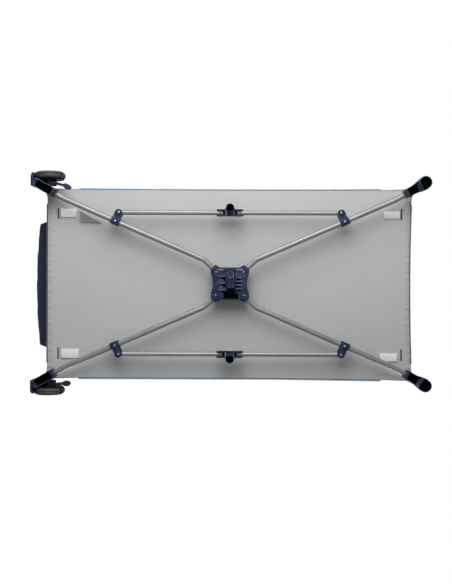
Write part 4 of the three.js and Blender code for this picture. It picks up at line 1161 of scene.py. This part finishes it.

# Pale beads along the front edge and pale strips on the ribs: painted highlights.
for label, points, low in (
    ("left", [(-42.5, -40.5), (-40.5, -43.6), (-36, -45), (-18, -45), (-18, -40.6), (-34, -40.4), (-38, -39)], 24.6),
    ("right", [(18.5, -45), (37, -45), (41.5, -43.6), (43.8, -40.5), (40, -39), (35, -40.4), (18.5, -40.6)], 24.6),
):
    bead = plate(f"highlight_edge_{label}", points, low, 27.0)
    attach(dress(soften(bead, 1.1, 3), highlight_navy), "hub")
for x0, x1, label, ribs in ((-36.5, -15.5, "left", LEFT_RIBS), (20.5, 40, "right", RIGHT_RIBS)):
    for number, y in enumerate(ribs):
        top = block(f"highlight_rib_{label}_{number}", x0, x1, y - 0.75, y + 0.75, 20.5, 21.4)
        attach(dress(soften(top, 0.3, 2), highlight_navy), "hub")
for corner, (sx, sy) in CORNERS.items():
    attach(dress(rivet(f"hub_rivet_{corner}", (sx * 43.4, sy * 36.2, 25.9), (0, 0, -1), 2.7, 1.1), steel), "hub")

# %% [markdown]
# ### The lock lever and its strap
#
# The lever is a ribbed block in the channel with a bow at its front end. The strap goes
# round the bow's bar and up through the base and the mattress, where a pull on it lets
# the frame fold. A cover under the bow hides the strap from below.

# %% Make the lock lever and the strap
key = block("key", -8, 14, -17.5, 14.5, 12, 46, 2.5)
carve(key, block("key_dish", -4.5, 10.5, -14, 11, 9, 15.5, 2))
fuse(key, block("key_spine", 1.8, 4.2, -15, 12, 11.2, 20))
fuse(key, block("key_bow", -8, 14, -37.5, -16, 30, 37, 2))
carve(key, block("bow_room", -4, 10, -33.5, -19.5, 24, 44, 1.5))
fuse(key, rod("stem", (3, -1.5, 44), (3, -1.5, 76), 5, 28, 4.6))
fuse(key, block("bow_cover", -7.8, 13.8, -41.0, -16, 25.0, 27.0, 3), block("cover_web", -6, 12, -20, -15, 25.6, 33))
soften(key, 0.8, 3)
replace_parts(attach(dress(key, navy), "lock"), "hub_lever")
key.name = "lock_lever"
# A pale U round the lever's dish: painted highlight.
LOOP = [
    (-7.2, -34), (-7.2, -16.5), (12.8, -16.5), (12.8, -34),
    (11.4, -34), (10.0, -18.2), (-4.4, -18.2), (-5.8, -34),
]
loop = plate("lever_loop", LOOP, 23.6, 26.0)
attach(dress(soften(loop, 0.4, 2), highlight_navy), "lock")

strap = block("strap", -2.5, 8.5, -33.2, -31.0, 27.5, 135)
fuse(strap, block("turn", -2.5, 8.5, -40.0, -31.0, 27.5, 29.7), block("end", -2.5, 8.5, -40.0, -37.8, 27.5, 37))
soften(strap, 0.6, 3)
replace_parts(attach(dress(strap, webbing), "lock"), "hub_strap")
strap.name = "pull_strap"
print("hub pieces done")

# %% [markdown]
# ## Posts, rails and top corners
#
# Above the base stand four round posts in moulded top corners. Each rail is two tubes that
# fold at a latch in the middle. The top corner is a cap over the post with a forked arm for
# each rail, open below so that the rail can swing down.

# %% Make the posts, rails and top corners
post_tube = bent_tube("post_tube", [Vector((604, 312, 22.3)), Vector((604, 312, 744))], [], 11, 1.4)
four_corners(post_tube, "painted_corner_post", paint, "corner_{}", "corner_post_{}")

RAIL_Z, LONG_Y, SHORT_X = 740.0, 320.0, 612.0
long_rail = bent_tube("long_rail", [Vector((18, LONG_Y, RAIL_Z)), Vector((573, LONG_Y, RAIL_Z))], [], 9.5, 1.4, 28)
four_corners(long_rail, "painted_long_rail", paint, "long_rail_{}", "long_rail_{}")
short_rail = bent_tube("short_rail", [Vector((SHORT_X, 18, RAIL_Z)), Vector((SHORT_X, 281, RAIL_Z))], [], 9.5, 1.4, 28)
four_corners(short_rail, "painted_short_rail", paint, "short_rail_{}", "short_rail_{}")

cap = turned(
    "cap", [(0, 700), (15.2, 700), (15.5, 702), (15.5, 750), (13.5, 755.5), (8, 757.6), (0, 758)],
    (604, 312, 0), "Z", 48,
)
fuse(
    cap,
    block("long_arm", 550.3, 626.1, 305.7, 334.3, 725.2, 756, 7),
    block("short_arm", 597.7, 626.1, 258.3, 334.3, 725.2, 756, 7),
)
carve(
    cap,
    block("long_fork", 538, 577.6, 309.7, 330.3, 715, 753.4),
    block("short_fork", 601.7, 622.3, 246, 285.6, 715, 753.4),
    rod("post_room", (604, 312, 690), (604, 312, 744.3), 11.3, 40),
)
fuse(
    cap,
    rod("long_pin", (564, 306, RAIL_Z), (564, 334, RAIL_Z), 3, 20),
    rod("short_pin", (598, 272, RAIL_Z), (626, 272, RAIL_Z), 3, 20),
)
soften(cap, 1.8, 3)
four_corners(cap, "moulded_top_corner", navy, "corner_{}", "top_corner_{}")
for label, place, way in (
    ("long_out", (564, 334.2, RAIL_Z), (0, 1, 0)), ("long_in", (564, 305.8, RAIL_Z), (0, -1, 0)),
    ("short_out", (626.0, 272, RAIL_Z), (1, 0, 0)), ("short_in", (597.8, 272, RAIL_Z), (-1, 0, 0)),
):
    four_corners(rivet("head", place, way, 5.2, 1.2), f"rail_pin_{label}", steel, "corner_{}")

# %% [markdown]
# ## Rail latches and their buttons
#
# A latch is a trough, open above, that holds the ends of two rails on two pins. A button
# below it frees the rails. The outside has shallow grip ribs, where a hand takes hold.

# %% Make the latches
latch = block("latch", -46, 46, -13.9, 13.9, 722.6, 750.8, 6)
fuse(latch, block("grip", -17, 17, -14.6, 14.6, 726, 748, 3))
for side in (-1, 1):
    a, b = sorted((side * 12, side * 52))
    carve(latch, block("trough", a, b, -10.3, 10.3, 726.4, 757))
    fuse(latch, rod("pin", (side * 27, -13.6, RAIL_Z), (side * 27, 13.6, RAIL_Z), 3, 20))
for x in (-12, -6, 0, 6, 12):
    for y in (-15.0, 15.0):
        carve(latch, block("grip_groove", x - 1.2, x + 1.2, y - 1.2, y + 1.2, 729, 745))
carve(latch, block("button_room", -8.4, 8.4, -6.4, 6.4, 716, 730.6, 3.6))
soften(latch, 0.8, 2)
button = block("button", -8, 8, -6, 6, 718.5, 725.4, 3.8)
carve(button, block("thumb_dish", -4.6, 4.6, -3, 3, 715, 719.4, 2.4))
soften(button, 0.7, 2)
for end, x, y, turn in (
    ("front", 0, -LONG_Y, 0), ("rear", 0, LONG_Y, 0), ("left", -SHORT_X, 0, 1), ("right", SHORT_X, 0, 1),
):
    lay = Matrix.Translation(Vector((x, y, 0)) * MM) @ Matrix.Rotation(turn * math.pi / 2, 4, "Z")
    for drawn, label, finish, body, node in (
        (latch, "moulded_latch", navy, "latch", "rail_latch"), (button, "pressed_button", black, "button", "latch_button"),
    ):
        piece = mirrored(drawn, f"{label}_{end}", 1, 1)
        piece.data.transform(lay)
        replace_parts(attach(dress(piece, finish), f"{body}_{end}"), f"{node}_{end}")
    for side in (-1, 1):
        for way in (-1, 1):
            spot = f"{'a' if side < 0 else 'b'}{'a' if way < 0 else 'b'}"
            place = (side * 27, way * 13.8, RAIL_Z)
            head = rivet(f"latch_pin_{end}_{spot}", place, (0, way, 0), 5.0, 1.2)
            head.data.transform(lay)
            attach(dress(head, steel), f"latch_{end}")
bpy.data.objects.remove(latch)
bpy.data.objects.remove(button)
print("upper frame done")

# %% [markdown]
# ## Cloth from a grid
#
# Every piece of cloth starts as a grid. A small function says where each point of the grid
# goes, in millimetres, so that the cloth keeps the size it was cut to and gets its folds in
# the same step. Solidify gives it its thickness.

# %% A helper for cloth
def cloth(name, across, along, shape, thick=1.2):
    bpy.ops.object.select_all(action="DESELECT")
    bpy.ops.mesh.primitive_grid_add(x_subdivisions=across, y_subdivisions=along, size=1.0)
    obj = settle(bpy.context.object, name)
    for vertex in obj.data.vertices:
        vertex.co = Vector(shape(vertex.co.x + 0.5, vertex.co.y + 0.5)) * MM
    finish_with(obj, "SOLIDIFY", thickness=thick * MM, offset=0)
    outwards(obj)
    only(obj)
    bpy.ops.object.shade_smooth_by_angle(angle=math.radians(60))
    return obj


def ripple(value, *waves):
    """A sum of sines, each a height in mm, a length in mm and a phase."""
    return sum(height * math.sin(2 * math.pi * value / length + phase) for height, length, phase in waves)


def step(value, low, high):
    """0 below low, 1 above high, smooth between."""
    t = min(1.0, max(0.0, (value - low) / (high - low)))
    return t * t * (3 - 2 * t)


# %% [markdown]
# ## The base cloth
#
# The base is a grey cloth that is stretched over the frame. When the cot folds, its corners
# go with the cross tubes, and the cloth gathers along them. So it is made in four quarters,
# one for each tube, that meet along the middle lines and move with their tube. The
# edges pucker a little at the hem, as sewn edges do. A slot near each corner lets a white
# strap end of the mattress through, and a slot by the hub lets the pull strap through.

# %% Make the base cloth
BASE_LOW, BASE_THICK = 88.5, 1.6
HALF_X, HALF_Y, ROUND = 586.0, 300.0, 24.0


def base_height(x, y):
    """Height of the cloth's middle: creases run from the foot along the tube, and the hem puckers."""
    hem = step(x, HALF_X - 34, HALF_X - 2) * ripple(y, (0.55, 27, 0.4), (0.35, 17, 1.9))
    side_hem = step(y, HALF_Y - 22, HALF_Y - 2) * ripple(x, (0.35, 31, 0.9), (0.2, 19, 2.0))
    reach = Vector((x - 586, y - 300, 0)).length
    fan = math.atan2(300 - y, 586 - x)
    creases = 0.8 * math.sin(fan * 17) * math.exp(-reach / 130) * step(reach, 12, 60)
    seam = -1.2 * math.exp(-((x - 567) / 2.2) ** 2)
    return BASE_LOW + 1.4 + hem + side_hem + creases - seam * 0.4


quarter = cloth("quarter", 150, 78, lambda u, v: (u * HALF_X, v * HALF_Y, base_height(u * HALF_X, v * HALF_Y)), BASE_THICK)
corner_off = block("corner_off", HALF_X - ROUND, HALF_X + 9, HALF_Y - ROUND, HALF_Y + 9, 80, 100)
carve(corner_off, rod("keep", (HALF_X - ROUND, HALF_Y - ROUND, 70), (HALF_X - ROUND, HALF_Y - ROUND, 110), ROUND, 64))
carve(quarter, corner_off, block("slot", 547.5 - 2.6, 547.5 + 2.6, 223 - 18, 223 + 18, 80, 100, 2))


def gather(piece, corner):
    """Hangs a soft piece on its cross tube with a mesh of its own, so it moves with the tube."""
    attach(piece, f"tube_{corner}")
    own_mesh(piece)
    return piece


def settled(piece, corner):
    """The cloth isn't quite square: its ends are drawn in, most at the middle of the right
    one, the front edge is hollow, and the rear edge hangs out a little at the right. All of
    this fades away above the base and round the posts."""
    for vertex in piece.data.vertices:
        x, y, z = vertex.co / MM
        low = 1 - step(z, 190, 430)
        free = step(abs(x), 553, 584) * (1 - step(abs(x), 595, 599)) * (1 - step(abs(y), 272, 298))
        middle = 1 - (min(abs(y), 300) / 300) ** 2
        if "right" in corner:
            vertex.co.x -= (7.5 + 6.5 * middle) * free * low * MM
        else:
            vertex.co.x += 5.5 * free * low * MM
        edge = step(abs(y), 60, 296) * (1 - step(abs(x), 575, 596)) * low
        if "rear" in corner:
            vertex.co.y += (0.8 + 4.2 * step(x, 80, 540)) * edge * MM
        else:
            vertex.co.y += 2.8 * (1 - (min(abs(x), 560) / 560) ** 2) * edge * MM
    return piece


for corner, (sx, sy) in CORNERS.items():
    piece = mirrored(quarter, f"base_cloth_{corner}", sx, sy)
    if "front" in corner:
        carve(piece, block("strap_slot", -3.4, 9.4, -36.6, -30, 80, 100))
    gather(dress(settled(piece, corner), base_cloth), corner)
    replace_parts(piece, "base_fabric")
bpy.data.objects.remove(quarter)

# %% [markdown]
# ### Hems and strap ends
#
# A band of tape is sewn along each short edge, and a near-black sheet above each slot is
# painted shade. The strap ends that hold the mattress come down through the slots and lie
# flat under the base, as white patches. By the front left slot lies a loose grey flap, and a
# darker grey triangle beside it is a painted shadow.

# %% Make the hems and the strap ends
for corner, (sx, sy) in CORNERS.items():
    hem = cloth(
        f"hem_{corner}", 5, 60,
        lambda u, v: (570 + 13.5 * u, 268 * v + 2, base_height(570 + 13.5 * u, 268 * v + 2) - 1.4), 0.7,
    )
    piece = gather(dress(settled(mirrored(hem, f"base_hem_{corner}", sx, sy), corner), hem_cloth), corner)
    # A near-black sheet above each slot: painted shade.
    slot_shade_sheet = cloth(f"backing_{corner}", 4, 12, lambda u, v: (540 + 15 * u, 201 + 44 * v, BASE_LOW + 2.9), 0.5)
    tape = gather(dress(settled(mirrored(slot_shade_sheet, f"slot_painted_shade_{corner}", sx, sy), corner), slot_shade_cloth), corner)
    bpy.data.objects.remove(slot_shade_sheet)
    bpy.data.objects.remove(hem)


PIXELS_WIDE, PIXELS_HIGH = 452, 584


def picture_spot(px, py, z=88.0):
    """The point on the base that the photograph shows at a pixel."""
    scale = PICTURE_HEIGHT / PIXELS_HIGH * (CAMERA_DEPTH * 1000 + z) / (CAMERA_DEPTH * 1000) / MM
    x, y = (px - PIXELS_WIDE / 2) * scale, (py - PIXELS_HIGH / 2) * scale
    return (x + camera.location.x / MM, y + camera.location.y / MM)


for corner, left, top, right, low in (
    ("front_left", 60.8, 208.8, 76.2, 217.1), ("front_right", 383.8, 210.8, 399.4, 217.7),
    ("rear_left", 61.7, 349, 79.0, 358), ("rear_right", 379.9, 352.4, 397.1, 360.5),
):
    (x0, y0), (x1, y1) = picture_spot(left, top), picture_spot(right, low)
    bow = 0.9 if "left" in corner else -0.9
    patch = cloth(
        f"strap_end_{corner}", 24, 12,
        lambda u, v: (
            x0 + (x1 - x0) * u, y0 + (y1 - y0) * v + 1.5 * math.sin(3 * u),
            86.0 - 1.2 * math.sin(math.pi * v) + bow * (u - 0.5),
        ), 1.2,
    )
    dress(patch, webbing)
    gather(patch, corner)
    abs(x1 - x0) * MM
    abs(y1 - y0) * MM

flap = cloth("loose_flap", 24, 20, lambda u, v: (-478 + 68 * u, -253 + 58 * v, 86.4 - 1.4 * v * v - 0.8 * math.sin(2 * u)), 0.8)
# A darker grey triangle beside the flap: painted shadow.
flap_shadow = cloth(
    "flap_painted_shadow", 24, 16,
    lambda u, v: (-476.5 + 65 * u, -196.5 - 34 * v * (1 - u) ** 1.25, 84.4 - 0.5 * math.sin(3 * u)), 0.6,
)
for piece, finish in ((flap, base_cloth), (flap_shadow, flap_cloth)):
    gather(dress(piece, finish), "front_left")

# %% [markdown]
# ## Walls
#
# The walls are netting with a cloth border, sewn to dark corner panels that wrap round the
# posts. Each wall is made in halves, one for each corner. While the cot folds, a half
# moves with its corner.

# %% Make the walls
WALL_LOW, WALL_TOP = 91.8, 722.0
LONG_SEAM, SHORT_SEAM, HALF_GAP = 479.0, 250.0, 0.2


def gather_wall(piece, corner, way):
    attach(piece, f"corner_{corner}")
    if way == "x":
        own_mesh(piece)
    else:
        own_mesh(piece)
    return piece


def wall_line(s, z, way, out=0.0):
    """A point of a wall: s mm from the middle of the wall, z up, with a little slack."""
    seam = LONG_SEAM if way == "x" else SHORT_SEAM
    slack = 2.2 * math.sin(math.pi * min(1, s / seam)) * math.sin(math.pi * (z - WALL_LOW) / (WALL_TOP - WALL_LOW))
    depth = out - slack + ripple(s, (0.35, 63, 0.7)) * step(z, 600, 720)
    return (s, HALF_Y + 0.4 + depth, z) if way == "x" else (HALF_X + 0.4 + depth, s, z)


BANDS = {"low": (WALL_LOW - 0.6, 178.0, 1.5), "top": (655.0, WALL_TOP, 1.2)}
for way, wall, seam, tone in (
    ("x", "wall_long", LONG_SEAM, pale_blue), ("y", "wall_short", SHORT_SEAM, dark_grey),
):
    net = cloth(
        f"net_{way}", 56, 60,
        lambda u, v: wall_line(
            HALF_GAP + (seam - HALF_GAP) * u, WALL_LOW + (WALL_TOP - WALL_LOW) * v, way,
        ), 0.7,
    )
    bands = {
        label: cloth(
            f"band_{way}_{label}", 90, 28,
            lambda u, v: wall_line(
                HALF_GAP + (seam + 3.8) * u, low + (high - low) * v, way,
                proud + (3.6 * math.exp(-(((high - low) * v - 6) / 5) ** 2) if label == "low" else 0.0),
            ), 1.3,
        )
        for label, (low, high, proud) in BANDS.items()
    }
    for corner, (sx, sy) in CORNERS.items():
        for label, drawn in bands.items():
            strip = settled(mirrored(drawn, f"{wall}_{label}_{corner}", sx, sy), corner)
            gather_wall(dress(strip, tone), corner, way)
        piece = settled(mirrored(net, f"{wall}_net_{corner}", sx, sy), corner)
        gather_wall(dress(piece, netting), corner, way)
        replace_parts(piece, "wall_fabric")
    for drawn in (net, *bands.values()):
        bpy.data.objects.remove(drawn)

# %% [markdown]
# ### Corner panels
#
# A dark panel runs from the long wall round the outside of the post to the short wall. Its
# path in the plan is a line of points, and the cloth follows the path at every height.

# %% Make the corner panels
around = [(604 + 13.4 * math.cos(math.radians(a)), 312 + 13.4 * math.sin(math.radians(a))) for a in range(150, -69, -12)]
PANEL_PATH = [
    (LONG_SEAM, HALF_Y + 0.4), (560, HALF_Y + 0.6), (580, HALF_Y + 1.6), *around,
    (HALF_X + 1.8, 291), (HALF_X + 0.8, 276), (HALF_X + 0.4, SHORT_SEAM),
]
lengths = [0.0]
for (xa, ya), (xb, yb) in zip(PANEL_PATH, PANEL_PATH[1:]):
    lengths.append(lengths[-1] + math.hypot(xb - xa, yb - ya))
PANEL_WIDTH, PANEL_HEIGHT = lengths[-1], 697 - WALL_LOW + 0.6


def on_path(s):
    for i in range(1, len(lengths)):
        if s <= lengths[i]:
            t = (s - lengths[i - 1]) / (lengths[i] - lengths[i - 1])
            (xa, ya), (xb, yb) = PANEL_PATH[i - 1], PANEL_PATH[i]
            return xa + (xb - xa) * t, ya + (yb - ya) * t
    return PANEL_PATH[-1]


def panel_point(u, v):
    x, y = on_path(u * PANEL_WIDTH * 0.9999)
    z = WALL_LOW - 0.6 + PANEL_HEIGHT * v
    swell = 3.6 * math.exp(-(((z - WALL_LOW - 6) / 6) ** 2)) + ripple(z, (0.3, 140, 0.3), (0.2, 61, 1.2))
    away = Vector((x - 560, y - 270, 0)).normalized() * swell
    return (x + away.x, y + away.y, z)


panel = cloth("panel", 110, 70, panel_point, 1.3)
for corner, (sx, sy) in CORNERS.items():
    piece = dress(settled(mirrored(panel, f"corner_panel_{corner}", sx, sy), corner), dark_grey)
    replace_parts(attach(piece, f"corner_{corner}"), "wall_fabric")
bpy.data.objects.remove(panel)
print("corner panel", round(PANEL_WIDTH), "mm wide")

# %% [markdown]
# ### Rail sleeves
#
# The rails run in cloth sleeves. A sleeve goes once round the rail and hangs down on the
# inside as a flap, down to the top edge of the wall.

# %% Make the rail sleeves
SLEEVE, SLEEVE_START, SLEEVE_TURN = 11.6, -150, 300


def sleeve_point(s, v):
    """s mm along the rail; v goes round the rail and then down the flap."""
    girth = 2 * math.pi * SLEEVE * SLEEVE_TURN / 360
    flap = 27.0
    t = v * (girth + flap)
    pucker = ripple(s, (0.30, 23, 0.2), (0.2, 41, 1.3))
    if t < girth:
        a = math.radians(SLEEVE_START - t / SLEEVE * 180 / math.pi)
        r = SLEEVE + pucker
        out, up = r * math.cos(a), r * math.sin(a)
    else:
        k = (t - girth) / flap
        start = math.radians(SLEEVE_START - SLEEVE_TURN)
        x0, z0 = SLEEVE * math.cos(start), SLEEVE * math.sin(start)
        out, up = x0 * (1 - k) - 17.2 * k, z0 - 4 - 21 * k + pucker
    return out, up


def sleeve(way, s0, s1, name):
    def shape(u, v):
        s = s0 + (s1 - s0) * u
        out, up = sleeve_point(s, v)
        return (s, LONG_Y + out, RAIL_Z + up) if way == "x" else (SHORT_X + out, s, RAIL_Z + up)
    return cloth(name, int((s1 - s0) / 6), 26, shape, 1.1)


for way, s0, s1, body in (("x", 50, 543, "long_rail"), ("y", 50, 251, "short_rail")):
    drawn = sleeve(way, s0, s1, f"sleeve_{way}")
    for corner, (sx, sy) in CORNERS.items():
        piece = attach(dress(mirrored(drawn, f"{body}_sleeve_{corner}", sx, sy), dark_grey), f"{body}_{corner}")
    bpy.data.objects.remove(drawn)

# %% [markdown]
# ## The end pocket
#
# A navy pocket hangs on the wall at the wheel end. It is a shallow bag: its cloth starts at
# the wall, turns under, and rises along a bellied front to a bound edge. It is made in two
# halves too, one for each left corner.

# %% Make the end pocket
POCKET = [(-206.0, 213.0), (156.5, 480.0)]


def pocket_depth(y, z):
    """How far the pocket's front stands off the wall."""
    (y0, y1), (z0, z1) = POCKET
    edge = min(y - y0, y1 - y)
    arch = max(0.0, math.sin(math.pi * (y - y0) / (y1 - y0))) ** 0.6
    belly = 43.6 * min(1.0, max(edge, 0.0) / 12.0) * (0.66 + 0.34 * arch)
    turn = min(1.0, max(0.0, (z - z0) / 26.0))
    return belly * math.sqrt(max(0.0, 1 - (1 - turn) ** 2)) * (1 - 0.18 * step(z, 330, 480)) + 0.6


def pocket_point(y, v):
    (y0, y1), (z0, z1) = POCKET
    z = z0 + (z1 - z0) * (v ** 2.2)
    sag = ripple(y, (0.8, 92, 0.4), (0.5, 47, 1.0)) * step(v, 0.1, 0.3)
    depth = pocket_depth(y, z)
    return (-HALF_X - 2.2 + 5.0 * math.exp(-depth / 4) - depth - sag * 0.7, y, z)


halves = []
for corner, y_far in (("front_left", POCKET[0][0]), ("rear_left", POCKET[0][1])):
    front = cloth(f"end_pocket_{corner}", 70, 60, lambda u, v: pocket_point(y_far * u, v), 1.6)
    binding = cloth(
        f"pocket_binding_{corner}", 60, 8,
        lambda u, v: (
            pocket_point(y_far * u, 1.0)[0] + 2.2 * math.cos(math.radians(360 * v)), y_far * u,
            480 + 5 * math.sin(math.radians(360 * v)),
        ), 0.9,
    )
    gather_wall(dress(binding, pocket_cloth), corner, "y")
    gather_wall(dress(front, pocket_cloth), corner, "y")
    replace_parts(front, "end_pocket")
    halves.append((front, binding, abs(y_far)))
for front, binding, width in halves:
    (width + 36) * MM

# %% [markdown]
# ## The mattress
#
# The mattress is a padded board in a quilted cover. It is made in quarters, which meet at
# sewn channels. One quarter is blown up by a cloth simulation from a slightly smaller slab,
# and then its own channels are pressed in and smoothed.

# %% Make the mattress
PAD = (2.0, 576.0, 2.0, 290.0, 93.0, 116.0)


def padding():
    x0, x1, y0, y1, z0, z1 = PAD
    pad = plate("pad", [(x0 + 20, y0), (x1, y0), (x1, y1), (x0, y1), (x0, y0 + 48), (x0 + 20, y0 + 48)], z0 + 2, z1 - 3)
    edit(pad, "EDGE")
    pick(pad, "EDGE", lambda c, d: abs(d.z) > 0.99 and c.x > 500 and c.y > 200)
    bpy.ops.mesh.bevel(offset=38 * MM, segments=8, affect="EDGES")
    close(pad)
    finish_with(pad, "REMESH", mode="VOXEL", voxel_size=0.0055)
    return pad


pad = padding()
start = [v.co.copy() for v in pad.data.vertices]
only(pad)
puff = pad.modifiers.new("puff", "CLOTH")
puff.settings.use_pressure = True
puff.settings.uniform_pressure_force = 4
puff.settings.effector_weights.gravity = 0
puff.settings.quality = 4
for frame_number in range(1, 21):
    bpy.context.scene.frame_set(frame_number)
bpy.ops.object.modifier_apply(modifier="puff")
bpy.context.scene.frame_set(1)
for vertex, before in zip(pad.data.vertices, start):
    shift = vertex.co - before
    if shift.length > 0.007:
        vertex.co = before + shift.normalized() * 0.007
for vertex in pad.data.vertices:
    x, y, z = vertex.co / MM
    channel = max(math.exp(-((x - 290) / 7) ** 2), math.exp(-((y - 146) / 6) ** 2) * 0.45)
    if z > 104:
        vertex.co.z -= 6.5 * channel * MM
    vertex.co.z = max(vertex.co.z, 92.0 * MM)
    vertex.co.z = min(vertex.co.z, 123.0 * MM)
finish_with(pad, "SMOOTH", factor=0.5, iterations=3)
finish_with(pad, "SUBSURF", levels=1, render_levels=1)
only(pad)
bpy.ops.object.shade_smooth()
for corner, (sx, sy) in CORNERS.items():
    piece = dress(settled(mirrored(pad, f"mattress_quarter_{corner}", sx, sy), corner), pad_cloth)
    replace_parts(gather(piece, corner), "mattress")
bpy.data.objects.remove(pad)
print("soft pieces done")

# %% [markdown]
# ## The floor
#
# A pale floor lies just under the feet. The photograph looks up from below it, so the floor
# is a one-way sheet: it shows only from above, and light passes through it.

# %% Make the floor
bpy.ops.object.select_all(action="DESELECT")
bpy.ops.mesh.primitive_grid_add(x_subdivisions=12, y_subdivisions=12, size=9)
floor = bpy.context.object
floor.name = "pale_floor"
floor.data.transform(Matrix.Translation((0, 0, -0.002)))
ground = Finish("pale_floor", None, (0.80, 0.80, 0.79), 0.8)
ground.set("Base Color", ground.mix(ground.noise(4, 4), (0.78, 0.78, 0.775), (0.83, 0.83, 0.825)))
px, py, _ = ground.axes()
far = ground.maths("SQRT", px * px + py * py)
fade = ground.node(
    "ShaderNodeMapRange", {"interpolation_type": "SMOOTHSTEP"},
    {"Value": far, "From Min": 1.1, "From Max": 3.2, "To Min": 1.0, "To Max": 0.0},
)
seen_from = ground.node("ShaderNodeNewGeometry", out=6)
ray = ground.node("ShaderNodeLightPath", out=0)
clear = ground.node("ShaderNodeBsdfTransparent")
blend_in = ground.tree.nodes.new("ShaderNodeMixShader")
ground.feed(blend_in.inputs[0], ray * (1 - seen_from) * fade)
ground.tree.links.new(clear.socket, blend_in.inputs[1])
ground.tree.links.new(ground.shader.outputs[0], blend_in.inputs[2])
ground.tree.links.new(blend_in.outputs[0], ground.end.inputs["Surface"])
floor.data.materials.append(ground.material)
